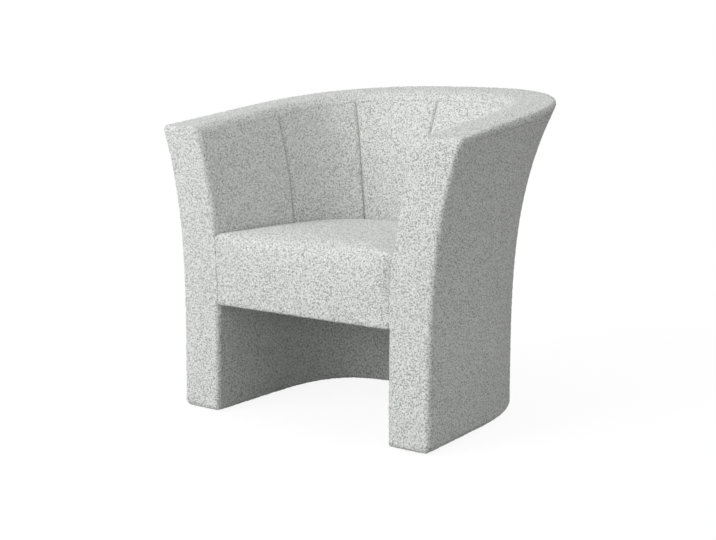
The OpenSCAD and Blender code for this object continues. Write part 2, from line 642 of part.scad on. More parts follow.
module post_screws(clear) {
    for (side = [1, -1]) for (f = post_screw_shares) {
        z = seat_ring_z + (rail_height + ply_t) * f;
        head_x = plan_x(0) + outer_off(z / arm_height) - frame_outer_d - 2 * frame_clear;
        translate([side * head_x, post_screw_y, z]) rotate([0, -90 * side, 0]) screw(post_screw_length, clear);
    }
}
module frame_screws() color("silver") chair() {
    ring_screws(0);
    post_screws(0);
}

// Springs

spring_width = 52;
spring_back_y = back_rail_y + rail_t / 2;
spring_front_y = front_rail_y + rail_t / 2;
spring_pitch = (spring_back_y - spring_front_y) / spring_bends;
spring_side_room = 62;
spring_space = 2 * (side_rail_x - spring_side_room) / (spring_count - 1);
spring_xs = [for (i = [0:spring_count - 1]) spring_space * (i - (spring_count - 1) / 2)];
spring_turn_angles = [-72, 0, 72];
wire_sides = 5;
function spring_path(x) = let (reach = (spring_width - spring_pitch) / 2) concat(
    [[x - reach, spring_front_y]],
    [for (k = [0:spring_bends - 1]) let (side = k % 2 == 0 ? 1 : -1) for (a = spring_turn_angles)
        [x + side * (reach + spring_pitch / 2 * cos(a)),
            spring_front_y + spring_pitch * (k + (1 + sin(a)) / 2)]],
    [[x - reach * (spring_bends % 2 == 0 ? -1 : 1), spring_back_y]]
);
// Round wire along a flat path at height z
module flat_wire(path, z, wire) {
    n = len(path);
    function heading(i) = let (v = path[min(i + 1, n - 1)] - path[max(i - 1, 0)]) v / norm(v);
    points = [for (i = [0:n - 1]) for (k = [0:wire_sides - 1]) let (h = heading(i), a = 360 * k / wire_sides)
        [path[i][0] - h[1] * cos(a) * wire / 2, path[i][1] + h[0] * cos(a) * wire / 2, z + sin(a) * wire / 2]];
    faces = concat(
        [for (i = [0:n - 2]) for (k = [0:wire_sides - 1]) let (
                p = i * wire_sides + k, r = i * wire_sides + (k + 1) % wire_sides
            ) each [[p, r + wire_sides, r], [p, p + wire_sides, r + wire_sides]]],
        [for (k = [1:wire_sides - 2]) [0, k, k + 1]],
        [for (k = [1:wire_sides - 2]) let (e = (n - 1) * wire_sides) [e, e + k + 1, e + k]]
    );
    polyhedron(points, faces);
}
module seat_springs() color("silver") chair()
    for (x = spring_xs) flat_wire(spring_path(x), spring_z, spring_wire);

// Folded clips that hold the end bars of the springs to the rails
clip_width = 18;
clip_depth = 16;
clip_gap = 0.2;
module clip_profile() {
    inside = spring_wire / 2 + clip_gap;
    low = -spring_wire / 2;
    difference() {
        translate([-clip_depth / 2, low - clip_t])
            square([clip_depth, clip_t + spring_wire + clip_gap + clip_t]);
        translate([-inside, low]) square([clip_depth, spring_wire + clip_gap]);
    }
}
module spring_clip() translate([-clip_width / 2, 0, 0]) rotate([90, 0, 90]) linear_extrude(clip_width)
    clip_profile();
module spring_clips() color("silver") chair() for (x = spring_xs) {
    translate([x, spring_front_y, spring_z]) spring_clip();
    translate([x, spring_back_y, spring_z]) mirror([0, 1, 0]) spring_clip();
}
tie_d = 2.4;
tie_shares = [0.36, 0.64];
module tie_wires() color("dimgray") chair() for (f = tie_shares) {
    y = spring_front_y + (spring_back_y - spring_front_y) * f;
    reach = side_rail_x - toe_in * (y - front_rail_back) / floor_depth - layer_gap;
    translate([-reach, y, rail_top - tie_d / 2]) rotate([0, 90, 0])
        cylinder(h = 2 * reach, d = tie_d, $fn = round_facets);
}

// Seat

// Share of the front edge's roll that each point round the seat takes
seat_front_shares = [1, 0.55];
seat_middle_y = side_length;
seat_turns = [0, 35, 65, 90];
crown_shares = [0.14, 0.4, 0.7];
front_edge_shares = [-0.75, -0.4, 0, 0.4, 0.75];
function seat_top(y) = seat_front_height - seat_fall * y / floor_depth;
// Point round the seat at depth d under its surface: turn 0 is upright and 90 level
function seat_side_point(i, d, turn, z) = let (
        w = i < len(seat_front_shares) ? seat_front_shares[i]
            : last_col - i < len(seat_front_shares) ? seat_front_shares[last_col - i] : 0,
        side_roll = seat_side_roll - d * seat_side_roll / seat_front_roll,
        front_roll = seat_front_roll - d,
        height = seat_front_height - d - (side_roll + (front_roll - side_roll) * w) * (1 - sin(turn)),
        p = inner_point_z(inner_cols[i], -(seat_gap + d + side_roll * (1 - cos(turn))), z == 0 ? height : z,
            d + front_roll * (1 - cos(turn))),
        push = i > 0 && i < last_col ? front_roll * (1 - cos(turn)) * w : 0
    ) [p[0], p[1] + push, z == 0 ? p[2] + seat_top(p[1] + push) - seat_front_height : z];
// Ring round the seat: its sides and back reach down to side_z and its front to front_z, with a fold between
function seat_ring_points(d, turn, side_z, front_z) = let (
        sides = [for (i = [0:last_col]) seat_side_point(i, d, turn, side_z)],
        corner = seat_side_point(0, d, turn, front_z),
        fold = sides[0] + [0, fold_t, 0]
    ) concat([corner, fold], [for (i = [1:last_col - 1]) sides[i]],
        [for (p = [fold, corner]) [-p[0], p[1], p[2]]],
        [for (f = front_edge_shares) [corner[0] * f, corner[1], corner[2]]]);
function seat_crown_points(d, share) = [for (p = seat_ring_points(d, 90, 0, 0))
    [p[0] * (1 - share), seat_middle_y + (p[1] - seat_middle_y) * (1 - share),
        p[2] + seat_crown * (1 - sq(1 - share))]];
function seat_rings(d, side_z, front_z) = concat([seat_ring_points(d, 0, side_z, front_z)],
    [for (turn = seat_turns) seat_ring_points(d, turn, 0, 0)],
    [for (c = crown_shares) seat_crown_points(d, c)]);
function seat_peak(d) = [0, seat_middle_y, seat_top(seat_middle_y) - d + seat_crown];
module seat_shell(d, t, front_z) dome_solid(seat_rings(d, tuck_z, front_z), seat_peak(d),
    seat_rings(d + t, tuck_z, front_z), seat_peak(d + t));
module seat_cover() color("whitesmoke") chair() seat_shell(0, cover_t, seat_underside);
module seat_wrap() color("white") chair() seat_shell(wrap_d, seat_wrap_t, seat_ring_z);
module seat_foam() color("lightyellow") chair()
    dome_solid(seat_rings(seat_foam_d, seat_foam_z, seat_foam_z), seat_peak(seat_foam_d), [],
        [0, seat_middle_y, seat_foam_z]);
module spring_pad() color("dimgray") chair() translate([0, 0, pad_z]) linear_extrude(pad_t)
    polygon([for (p = seat_ring_points(seat_foam_d, 0, pad_z, pad_z)) [p[0], p[1]]]);
// Foam block behind the back rail, on the ring's shelf
module rear_seat_block() color("lightyellow") chair() intersection() {
    translate([0, 0, seat_ring_top + layer_gap]) linear_extrude(rail_height - layer_gap)
        polygon([for (i = [1:last_col - 1]) let (p = inner_point_z(inner_cols[i], -seat_gap, seat_ring_top, 0))
            [p[0], p[1]]]);
    translate([-arm_height, back_rail_y + rail_t + 2 * layer_gap, 0]) cube(arm_height);
}

// Underside

staple_wire = 1.2;
staple_width = 11;
staple_leg = 8;
staple_clear = 0.1;
staple_shares = [0.4, 0.62, 1.08, 1.2, 1.45, 1.58, 1.82, 1.93];
glide_shares = [0.16, 0.8, 1.33, 1.7];
glide_nail_d = 2.6;
glide_nail_length = 14;
// Middle of the base ring at place q
module on_base(q, side) {
    s = base_ring_z / arm_height;
    n = plan_normal(q);
    p = plan_point(q, side, (outer_off(s) - frame_outer_d + inner_off(s) + lower_frame_d) / 2);
    translate([p[0], p[1], base_cloth_z]) rotate([0, 0, atan2(n[1], side * n[0])]) children();
}
module staple(clear) for (side = [1, -1])
    translate([0, side * (staple_width - staple_wire) / 2, -staple_wire])
        translate([-1, -1, 0] * (staple_wire / 2 + clear))
        cube([staple_wire + 2 * clear, staple_wire + 2 * clear, staple_leg + staple_wire + clear]);
module staple_legs(clear) for (side = [1, -1]) for (q = staple_shares) on_base(q, side) staple(clear);
module base_staples() color("silver") chair() {
    staple_legs(0);
    for (side = [1, -1]) for (q = staple_shares) on_base(q, side)
        translate([-staple_wire / 2, -staple_width / 2, -staple_wire])
            cube([staple_wire, staple_width, staple_wire]);
}
module glide_nails(clear) for (side = [1, -1]) for (q = glide_shares) on_base(q, side)
    cylinder(h = glide_nail_length + clear, d = glide_nail_d + 2 * clear, $fn = round_facets);
module glides() color("dimgray") chair() {
    glide_nails(0);
    for (side = [1, -1]) for (q = glide_shares) on_base(q, side) translate([0, 0, -glide_height])
        cylinder(h = glide_height, d1 = glide_diameter - glide_height, d2 = glide_diameter, $fn = round_facets);
}
module base_cloth() color("black") chair() {
    s = base_ring_z / arm_height;
    difference() {
        translate([0, 0, base_cloth_z]) linear_extrude(cloth_t) polygon(ring_outline(
            flat_points(outer_cols, outer_off(s) - frame_outer_d - cloth_t, post_y, s),
            flat_points(outer_cols, inner_off(s) + lower_frame_d + cloth_t, post_y, s)
        ));
        staple_legs(staple_clear);
        glide_nails(staple_clear);
    }
}
module seat_dust_cloth() color("black") chair() {
    sides = [for (c = outer_cols)
        let (p = inner_point_z(c, -cloth_t / 2, dust_cloth_z, front_rail_y)) [p[0], p[1]]];
    translate([0, 0, dust_cloth_z]) linear_extrude(cloth_t) polygon(sides);
}

for (i = [1:7]) lower_rib(i);
for (i = [1:7]) upper_rib(i);
for (i = [1:6]) inside_panel(i);
base_ring();
seat_ring();
top_ring();
arm_post_right();
arm_post_left();
seat_front_rail();
seat_back_rail();
seat_side_rail_right();
seat_side_rail_left();
outer_liner();
upper_inner_liner();
lower_inner_liner();
outer_wadding();
inside_back_foam();
lower_inside_wadding();
rim_foam();
arm_front_foam_right();
arm_front_foam_left();
outer_cover();
rim_cover();
arm_front_cover_right();
arm_front_cover_left();
lower_inside_cover();
corner_blocks();
seat_springs();
spring_clips();
tie_wires();
frame_screws();
base_staples();
spring_pad();
seat_foam();
rear_seat_block();
seat_wrap();
seat_cover();
seat_dust_cloth();
base_cloth();
glides();
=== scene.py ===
"""Tub chair in grey-white boucle: a U-shaped upholstered wall with a tight sprung seat between its arms."""
import json
import math

import bmesh
import bpy
import numpy as np
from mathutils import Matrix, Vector

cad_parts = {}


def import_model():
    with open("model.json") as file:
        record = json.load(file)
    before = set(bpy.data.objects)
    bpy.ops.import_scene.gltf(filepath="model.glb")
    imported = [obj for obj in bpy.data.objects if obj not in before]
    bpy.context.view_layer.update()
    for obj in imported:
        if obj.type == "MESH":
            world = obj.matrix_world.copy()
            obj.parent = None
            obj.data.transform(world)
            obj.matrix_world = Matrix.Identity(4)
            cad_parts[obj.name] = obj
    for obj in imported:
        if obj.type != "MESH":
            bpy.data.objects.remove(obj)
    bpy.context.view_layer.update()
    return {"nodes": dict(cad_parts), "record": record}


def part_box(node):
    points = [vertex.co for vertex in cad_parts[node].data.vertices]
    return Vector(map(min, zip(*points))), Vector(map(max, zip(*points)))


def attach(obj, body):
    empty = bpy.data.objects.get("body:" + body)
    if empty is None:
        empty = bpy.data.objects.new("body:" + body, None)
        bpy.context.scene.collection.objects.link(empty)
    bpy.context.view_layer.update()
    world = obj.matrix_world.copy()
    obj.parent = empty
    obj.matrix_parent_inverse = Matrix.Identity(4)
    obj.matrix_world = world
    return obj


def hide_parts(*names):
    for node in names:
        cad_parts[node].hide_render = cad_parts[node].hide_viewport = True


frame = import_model()

# Sizes of the wall, in metres, as the part's source has them
FLOOR_HALF_WIDTH, SIDE_LENGTH, BACK_DEPTH = 0.3375, 0.204, 0.3565
TOE_IN, PLAN_POWER = 0.013, 2.75
ARM_HEIGHT, RIM_RISE = 0.651, 0.0675
SIDE_FLARE, BACK_RAKE, WAIST_IN, FLARE_POWER = 0.0695, 0.061, 0.005, 3.7
FRONT_LEAN = 0.0115
WALL_THICKNESS, RIM_THICKNESS = 0.103, 0.1075
HEM_HEIGHT, HEM_RADIUS = 0.004, 0.016
# The seat: its heights, its fall to the back and its crown, the rounds of its edges, and its gap to the arms
SEAT_UNDERSIDE, SEAT_FRONT_HEIGHT = 0.2515, 0.415
SEAT_FALL, SEAT_CROWN = 0.006, 0.015
SEAT_FRONT_ROLL, SEAT_END_ROLL, SEAT_SIDE_ROLL, SEAT_GAP = 0.034, 0.008, 0.003, 0.0006
# How far the seat's front is tucked in beside the arms, and how deep the fold on its right is
SEAT_TUCK, SEAT_FOLD = 0.002, 0.004
# Height where the seat tucks in at the wall, and how far above it the inside panels start
TUCK_Z, PANEL_START = 0.3306, 0.005
# How far below the rim the wall's foam and wadding end
FOAM_DROP = 0.0386
# Places of the inside seams along the plan curve, at the seat and at the rim
SEAM_PLACES = [(0.0, 0.0), (1.11, 1.11), (1.735, 1.622), (2.0, 2.0)]
# Radii of the dressed edges, which the padding makes a little fuller than the solids
ARM_EDGE = 0.012
ARM_EDGE_AT_SEAT = 0.0015
RIM_OUTER_FRONT, RIM_OUTER_BACK, RIM_INNER = 0.0115, 0.0155, 0.017
INNER_HEM = 0.008
# Place along the plan curve where the rim's outer round is at its fullest
RIM_FULL = 1.5
# Spacing of a cover's points, finer on the panels that show most, and how many of them its back skips
FINE, WIDE, LOWER = 0.0025, 0.0026, 0.0029
BACK_STEP = 6
COVER_THICKNESS = 0.003

FLOOR_DEPTH = SIDE_LENGTH + BACK_DEPTH
TOE = TOE_IN / (FLOOR_HALF_WIDTH * FLOOR_DEPTH)
RIM_SLOPE = RIM_RISE / FLOOR_DEPTH
TUCK_S = (TUCK_Z + PANEL_START) / ARM_HEIGHT
FOAM_TOP_S = 1 - FOAM_DROP / ARM_HEIGHT
# Middle of the chair's depth, which is Y = 0
MID_Y = FRONT_LEAN * HEM_HEIGHT / ARM_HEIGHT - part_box("arm_front_cover_right")[0].y


# ---- The wall's surfaces --------------------------------------------------------------------------------

def unit(value):
    """The value, held between 0 and 1."""
    return np.clip(value, 0, 1)


def plan(q):
    """Plan curve of the outer face at the floor: 0 is the arm front, 1 the start of the back's curve and 2 its
    middle. Gives x, y and the direction straight out."""
    q = np.asarray(q, float)
    turn = np.radians(90 * unit(q - 1))
    y = np.where(q <= 1, SIDE_LENGTH * q, SIDE_LENGTH + BACK_DEPTH * np.sin(turn) ** (2 / PLAN_POWER))
    x0 = FLOOR_HALF_WIDTH * np.cos(turn) ** (2 / PLAN_POWER)
    k = 1 - TOE * y
    gx = np.cos(turn) ** (2 - 2 / PLAN_POWER) / FLOOR_HALF_WIDTH
    gy = np.sin(turn) ** (2 - 2 / PLAN_POWER) / BACK_DEPTH
    nx, ny = gx / k, gy + gx * x0 * TOE / k
    size = np.hypot(nx, ny)
    return x0 * k, y, nx / size, ny / size


def outer_offset(s):
    """How far the outer face stands out from the plan curve at a level."""
    return SIDE_FLARE * s ** FLARE_POWER - WAIST_IN * s


def wall_at(s):
    """Thickness of the wall at a level."""
    return WALL_THICKNESS + (RIM_THICKNESS - WALL_THICKNESS) * s


def wall_points(side, q, offset, s, setback):
    """Points at a level s (0 the floor, 1 the rim) and an offset from the plan curve."""
    given = [np.asarray(v, float) for v in (side, q, offset, s, setback)]
    side, q, offset, s, setback = np.broadcast_arrays(*given)
    x, y, nx, ny = plan(np.maximum(q, 1))
    r = offset + BACK_RAKE * ny * s ** FLARE_POWER
    px, py = x + nx * r, y + ny * r
    x0 = plan(0)[0]
    fy = FRONT_LEAN * s + setback
    fx = x0 + (r - ny * fy) / nx
    t = unit(q)
    px, py = fx + (px - fx) * t, fy + (py - fy) * t
    return np.stack([side * px, py - MID_Y, s * (ARM_HEIGHT + RIM_SLOPE * py)], -1)


def level_at(side, q, z):
    """Level at which the inner face passes the height z."""
    s = z / (ARM_HEIGHT + RIM_SLOPE * plan(q)[1])
    y = wall_points(side, q, outer_offset(s) - wall_at(s), s, 0)[..., 1] + MID_Y
    return z / (ARM_HEIGHT + RIM_SLOPE * y)


# How far in from the plan curve the wall's middle line runs
MIDDLE_IN = 0.04


def measured_run():
    """Places along the plan curve, and the length along the wall's middle up to each, to space columns evenly."""
    t = np.linspace(0, 1, 4001)
    power = PLAN_POWER / 2
    q = np.concatenate([np.linspace(0, 1, 50)[:-1], 1 + t ** power / (t ** power + (1 - t) ** power)])
    x, y, nx, ny = plan(q)
    steps = np.hypot(np.diff(x - MIDDLE_IN * nx), np.diff(y - MIDDLE_IN * ny))
    return q, np.concatenate([[0], np.cumsum(steps)])


PLACES, RUNS = measured_run()
HALF_RUN = RUNS[-1]


def run_of(q):
    """Length along the wall up to a place."""
    return np.interp(q, PLACES, RUNS)


def place_of(run):
    """Place at a length along the wall."""
    return np.interp(run, RUNS, PLACES)


def seam_place(k, s):
    """Place of an inside seam at a level."""
    low, top = SEAM_PLACES[k]
    return low + (top - low) * (s - TUCK_S) / (1 - TUCK_S)


def both_ways(step):
    """Columns from the right arm front, round the back, to the left one: side and place."""
    n = round(2 * HALF_RUN / step)
    run = np.linspace(-HALF_RUN, HALF_RUN, n + 1)
    return np.where(run <= 0, 1.0, -1.0), place_of(HALF_RUN - np.abs(run))


def columns(step):
    """The same columns as the first direction of a grid of points."""
    side, q = both_ways(step)
    return side[:, None], q[:, None]


def roll(distance, radius):
    """How far a round edge falls back at a distance from it."""
    d = np.clip(distance, 0, radius)
    return radius - np.sqrt(np.maximum(0, radius ** 2 - (radius - d) ** 2))


def rim_outer(q):
    """Radius of the rim's outer round, which grows from the arm fronts to the back."""
    t = unit(q / RIM_FULL)
    return RIM_OUTER_FRONT + (RIM_OUTER_BACK - RIM_OUTER_FRONT) * t * t * (3 - 2 * t)


# ---- Meshes -----------------------------------------------------------------------------------------------

def grid_normals(p):
    """Unit normal at each point of a grid."""
    n = np.cross(np.gradient(p, axis=0), np.gradient(p, axis=1))
    return n / np.maximum(np.linalg.norm(n, axis=-1, keepdims=True), 1e-12)


def coarse(n, step):
    """Every step-th of n rows, with the first and the last."""
    k = max(1, round((n - 1) / step))
    return sorted({round(i * (n - 1) / k) for i in range(k + 1)})


def skin(name, p, thickness, lump, outward):
    """Closed cover from a fine grid of points on its face. Its back is coarser, lump is how much of the boucle's
    height each point takes, and outward gives the way that the face looks."""
    n, m = p.shape[:2]
    normal = grid_normals(p)
    if np.sum((normal * outward(p)).sum(-1)) < 0:
        p, normal, lump = p[:, ::-1], -normal[:, ::-1], lump[:, ::-1]
    rows, cols = coarse(n, BACK_STEP), coarse(m, BACK_STEP)
    w = len(cols)
    behind = (p - normal * thickness)[np.ix_(rows, cols)]
    points = np.concatenate([p.reshape(-1, 3), behind.reshape(-1, 3)])
    front = np.arange(n * m).reshape(n, m)
    back = n * m + np.arange(len(rows) * w).reshape(-1, w)
    a, b = front[:-1, :-1].ravel(), back[:-1, :-1].ravel()
    faces = np.stack([a, a + m, a + m + 1, a + 1], 1).tolist()
    faces += np.stack([b, b + 1, b + w + 1, b + w], 1).tolist()
    for fine, marks, far, flip in ((front[:, 0], rows, back[:, 0], False), (front[:, -1], rows, back[:, -1], True),
                                   (front[0], cols, back[0], True), (front[-1], cols, back[-1], False)):
        fine, far = fine.tolist(), far.tolist()
        for k in range(len(marks) - 1):
            lo, hi = marks[k], marks[k + 1]
            mid = (lo + hi) // 2
            fans = [[far[k], fine[t], fine[t + 1]] for t in range(lo, mid)]
            fans.append([far[k], fine[mid], far[k + 1]])
            fans += [[far[k + 1], fine[t], fine[t + 1]] for t in range(mid, hi)]
            faces += [f[::-1] if flip else f for f in fans]
    out = np.zeros_like(points)
    out[:n * m] = (normal * lump[..., None]).reshape(-1, 3)
    return new_piece(name, points, faces, out)


def new_piece(name, points, faces, out=None):
    """Smooth-shaded piece from points and faces, with the way out at each point where it is given."""
    mesh = bpy.data.meshes.new(name)
    mesh.from_pydata(np.asarray(points).tolist(), [], faces)
    if out is not None:
        layer = mesh.attributes.new("out", "FLOAT_VECTOR", "POINT")
        layer.data.foreach_set("vector", out.astype(np.float32).ravel())
    mesh.polygons.foreach_set("use_smooth", np.ones(len(mesh.polygons), bool))
    mesh.update()
    piece = bpy.data.objects.new(name, mesh)
    bpy.context.scene.collection.objects.link(piece)
    return piece


def applied(piece):
    """Puts what the piece's modifiers make into its own mesh, and takes them off."""
    now = piece.evaluated_get(bpy.context.evaluated_depsgraph_get())
    mesh = bpy.data.meshes.new_from_object(now)
    piece.modifiers.clear()
    old, piece.data = piece.data, mesh
    bpy.data.meshes.remove(old)
    mesh.polygons.foreach_set("use_smooth", np.ones(len(mesh.polygons), bool))
    return piece


def points_of(mesh):
    """The mesh's points as an array."""
    co = np.empty(len(mesh.vertices) * 3, np.float32)
    mesh.vertices.foreach_get("co", co)
    return co.reshape(-1, 3).astype(float)


# ---- Node helpers -------------------------------------------------------------------------------------------

def add(tree, kind, sockets=None, **settings):
    """Adds a node with its settings, and fills each named or numbered input with a value or a link."""
    node = tree.nodes.new(kind)
    for key, value in settings.items():
        setattr(node, key, value)
    for key, value in (sockets or {}).items():
        if isinstance(value, bpy.types.NodeSocket):
            tree.links.new(value, node.inputs[key])
        else:
            node.inputs[key].default_value = value
    return node


def srgb(text):
    """Linear colour of an sRGB hex value."""
    c = [int(text[i:i + 2], 16) / 255 for i in (1, 3, 5)]
    return (*[v / 12.92 if v <= 0.04045 else ((v + 0.055) / 1.055) ** 2.4 for v in c], 1.0)


# Boucle: loops of yarn about 1 mm thick lie about 3 mm apart, and colour the cloth. The mesh raises only the curls
# that they gather into, about 5 mm across and 1 mm high, because its points are too far apart for the loops.
CURL_SPACING, CURL_HEIGHT = 0.0052, 0.0012
LOOP_SPACING, YARN = 0.0028, 0.001
# Where a curl ends in the gap and where its top starts, in spacings from its middle: as raised, and as coloured
RAISED_GAP, RAISED_TOP = 0.66, 0.2
# The coloured gaps are painted darker than the loops' tops: painted shade between the loops
COLOUR_GAP, COLOUR_TOP = 0.7, 0.28
# The curls lie in no rows: a noise bends them by this many spacings, with this share of a wave to a spacing
BEND, BEND_WAVES = 1.7, 0.55
# Share of a curl's height that lies under the cover's face
SUNK = 0.4
# Waviness of the padding under the cover: its height, and how many waves there are in a metre
UNEVENNESS, WAVES = 0.001, 45.0


def boucle_pattern(tree, position, spacing, gap, top):
    """Height of the curls, 0 in the gaps and 1 on top, at a position."""
    warp = add(tree, "ShaderNodeTexNoise", {"Vector": position, "Scale": BEND_WAVES / spacing, "Detail": 1.0})
    centred = add(tree, "ShaderNodeVectorMath", {0: warp.outputs["Color"], 1: (0.5, 0.5, 0.5)},
                  operation="SUBTRACT")
    bent = add(tree, "ShaderNodeVectorMath", {0: centred.outputs[0], 1: (spacing * BEND,) * 3, 2: position},
               operation="MULTIPLY_ADD")
    cells = add(tree, "ShaderNodeTexVoronoi",
                {"Vector": bent.outputs[0], "Scale": 1 / spacing, "Smoothness": 0.25}, feature="SMOOTH_F1")
    return add(tree, "ShaderNodeMapRange", {"Value": cells.outputs["Distance"], "From Min": gap, "From Max": top},
               interpolation_type="SMOOTHSTEP")


def curls_tree():
    """Geometry tree that raises the curls along each point's out direction."""
    tree = bpy.data.node_groups.new("boucle_curls", "GeometryNodeTree")
    face = tree.interface
    face.new_socket("Geometry", in_out="INPUT", socket_type="NodeSocketGeometry")
    for label, value in (("Curl Height", CURL_HEIGHT), ("Unevenness", UNEVENNESS)):
        face.new_socket(label, in_out="INPUT", socket_type="NodeSocketFloat").default_value = value
    face.new_socket("Finish", in_out="INPUT", socket_type="NodeSocketMaterial")
    face.new_socket("Geometry", in_out="OUTPUT", socket_type="NodeSocketGeometry")
    given = add(tree, "NodeGroupInput")
    where = add(tree, "GeometryNodeInputPosition").outputs[0]
    curls = boucle_pattern(tree, where, CURL_SPACING, RAISED_GAP, RAISED_TOP).outputs["Result"]
    named = add(tree, "GeometryNodeInputNamedAttribute", {"Name": "out"}, data_type="FLOAT_VECTOR")
    out = named.outputs["Attribute"]
    stand = add(tree, "ShaderNodeMath", {0: curls, 1: SUNK}, operation="SUBTRACT")
    rise = add(tree, "ShaderNodeMath", {0: stand.outputs[0], 1: given.outputs["Curl Height"]},
               operation="MULTIPLY")
    broad = add(tree, "ShaderNodeTexNoise", {"Vector": where, "Scale": WAVES, "Detail": 1.0})
    sway = add(tree, "ShaderNodeMath", {0: broad.outputs[0], 1: 0.5}, operation="SUBTRACT")
    sway = add(tree, "ShaderNodeMath", {0: sway.outputs[0], 1: given.outputs["Unevenness"], 2: rise.outputs[0]},
               operation="MULTIPLY_ADD")
    move = add(tree, "ShaderNodeVectorMath", {0: out, "Scale": sway.outputs[0]}, operation="SCALE")
    lifted = add(tree, "GeometryNodeSetPosition",
                 {"Geometry": given.outputs["Geometry"], "Offset": move.outputs[0]})
    # Share of the boucle's height, kept for the material, which paints lower boucle darker as painted shade
    loft_and_shade = add(tree, "ShaderNodeVectorMath", {0: out}, operation="LENGTH")
    kept = add(tree, "GeometryNodeStoreNamedAttribute",
               {"Geometry": lifted.outputs[0], "Name": "loft_and_shade", "Value": loft_and_shade.outputs["Value"]},
               data_type="FLOAT", domain="POINT")
    real = add(tree, "GeometryNodeRealizeInstances", {"Geometry": kept.outputs[0]})
    dressed = add(tree, "GeometryNodeSetMaterial",
                  {"Geometry": real.outputs[0], "Material": given.outputs["Finish"]})
    add(tree, "NodeGroupOutput", {"Geometry": dressed.outputs[0]})
    return tree


def curled(piece):
    """Raises the boucle on a piece, whose out attribute says where and which way."""
    mod = piece.modifiers.new("curls", "NODES")
    mod.node_group = CURLS
    mod[next(s.identifier for s in CURLS.interface.items_tree if s.name == "Finish")] = BOUCLE
    applied(piece)
    piece.data.attributes.remove(piece.data.attributes["out"])
    return piece


# ---- Materials ----------------------------------------------------------------------------------------------

def new_material(name):
    """Empty node material and its tree."""
    mat = bpy.data.materials.new(name)
    mat.use_nodes = True
    mat.node_tree.nodes.clear()
    return mat, mat.node_tree


def finish_material(tree, sockets):
    """Ends a material in one shader with the given inputs."""
    shader = add(tree, "ShaderNodeBsdfPrincipled", sockets)
    add(tree, "ShaderNodeOutputMaterial", {"Surface": shader.outputs[0]})


def grained(tree, grain, dark, light, height, strength, depth, sockets):
    """Ends a material that runs with its grain from a dark to a light tone, and whose bumps follow a height."""
    tone = add(tree, "ShaderNodeValToRGB", {"Fac": grain})
    for stop, (place_at, colour) in zip(tone.color_ramp.elements, (dark, light)):
        stop.position, stop.color = place_at, srgb(colour)
    bump = add(tree, "ShaderNodeBump", {"Height": height, "Strength": strength, "Distance": depth})
    finish_material(tree, {"Base Color": tone.outputs["Color"], "Normal": bump.outputs[0], **sockets})


def boucle_material():
    """Polyester boucle, woven from looped yarn: soft and matt, with pale loops over small gaps that are painted
    grey as painted shade between the loops. It is flatter where a seam pulls it in, and there and in the seat's
    fold its colour is darkened as painted shade."""
    mat, tree = new_material("grey_white_polyester_boucle")
    here = add(tree, "ShaderNodeTexCoord").outputs["Object"]
    loft_and_shade = add(tree, "ShaderNodeAttribute", attribute_name="loft_and_shade").outputs["Fac"]
    curls = boucle_pattern(tree, here, LOOP_SPACING, COLOUR_GAP, COLOUR_TOP).outputs["Result"]
    yarn = add(tree, "ShaderNodeTexNoise",
               {"Vector": here, "Scale": 1 / (2 * YARN), "Detail": 2.0, "Distortion": 1.0})
    strands = add(tree, "ShaderNodeMath", {0: yarn.outputs[0], 1: 0.5}, operation="SUBTRACT")
    mixed = add(tree, "ShaderNodeMath", {0: strands.outputs[0], 1: 0.9, 2: curls}, operation="MULTIPLY_ADD")
    # Lower boucle, at the seams and in the seat's fold, gets a darker colour: painted shade
    pressed = add(tree, "ShaderNodeMath", {0: mixed.outputs[0], 1: loft_and_shade}, operation="MULTIPLY")
    # Colours from the painted shade in the gaps to the pale tops of the loops
    tone = add(tree, "ShaderNodeValToRGB", {"Fac": pressed.outputs[0]})
    ramp = tone.color_ramp
    ramp.elements[0].position, ramp.elements[0].color = 0.0, srgb("#a2a5a2")
    ramp.elements[1].position, ramp.elements[1].color = 1.0, srgb("#eff0ee")
    for place_at, colour in ((0.25, "#d3d5d3"), (0.6, "#e7e9e6")):
        ramp.elements.new(place_at).color = srgb(colour)
    height = add(tree, "ShaderNodeMath", {0: strands.outputs[0], 1: 0.5, 2: curls}, operation="MULTIPLY_ADD")
    bump = add(tree, "ShaderNodeBump", {"Height": height.outputs[0], "Strength": 0.06, "Distance": 0.001})
    finish_material(tree, {"Base Color": tone.outputs["Color"], "Roughness": 0.95, "Specular IOR Level": 0.2,
                           "Sheen Weight": 0.2, "Sheen Roughness": 0.6, "Normal": bump.outputs[0]})
    return mat


def plywood_material():
    """Birch plywood, rotary-cut veneer sanded smooth: pale brown, with streaks about 110 mm long, in layers of
    1.5 mm that are lighter and darker by turns."""
    mat, tree = new_material("birch_plywood_sanded")
    here = add(tree, "ShaderNodeTexCoord").outputs["Object"]
    long_way = add(tree, "ShaderNodeMapping", {"Vector": here, "Scale": (1.0, 8.0, 60.0)})
    grain = add(tree, "ShaderNodeTexNoise",
                {"Vector": long_way.outputs[0], "Scale": 9.0, "Detail": 5.0, "Distortion": 0.6})
    layers = add(tree, "ShaderNodeTexWave", {"Vector": here, "Scale": 105.0, "Distortion": 0.15},
                 wave_type="BANDS", bands_direction="Z")
    both = add(tree, "ShaderNodeMath", {0: layers.outputs["Fac"], 1: 0.35, 2: grain.outputs[0]},
               operation="MULTIPLY_ADD")
    grained(tree, both.outputs[0], (0.3, "#a9834f"), (0.85, "#dcbf8e"), both.outputs[0], 0.25, 0.0004,
            {"Roughness": 0.55})
    return mat


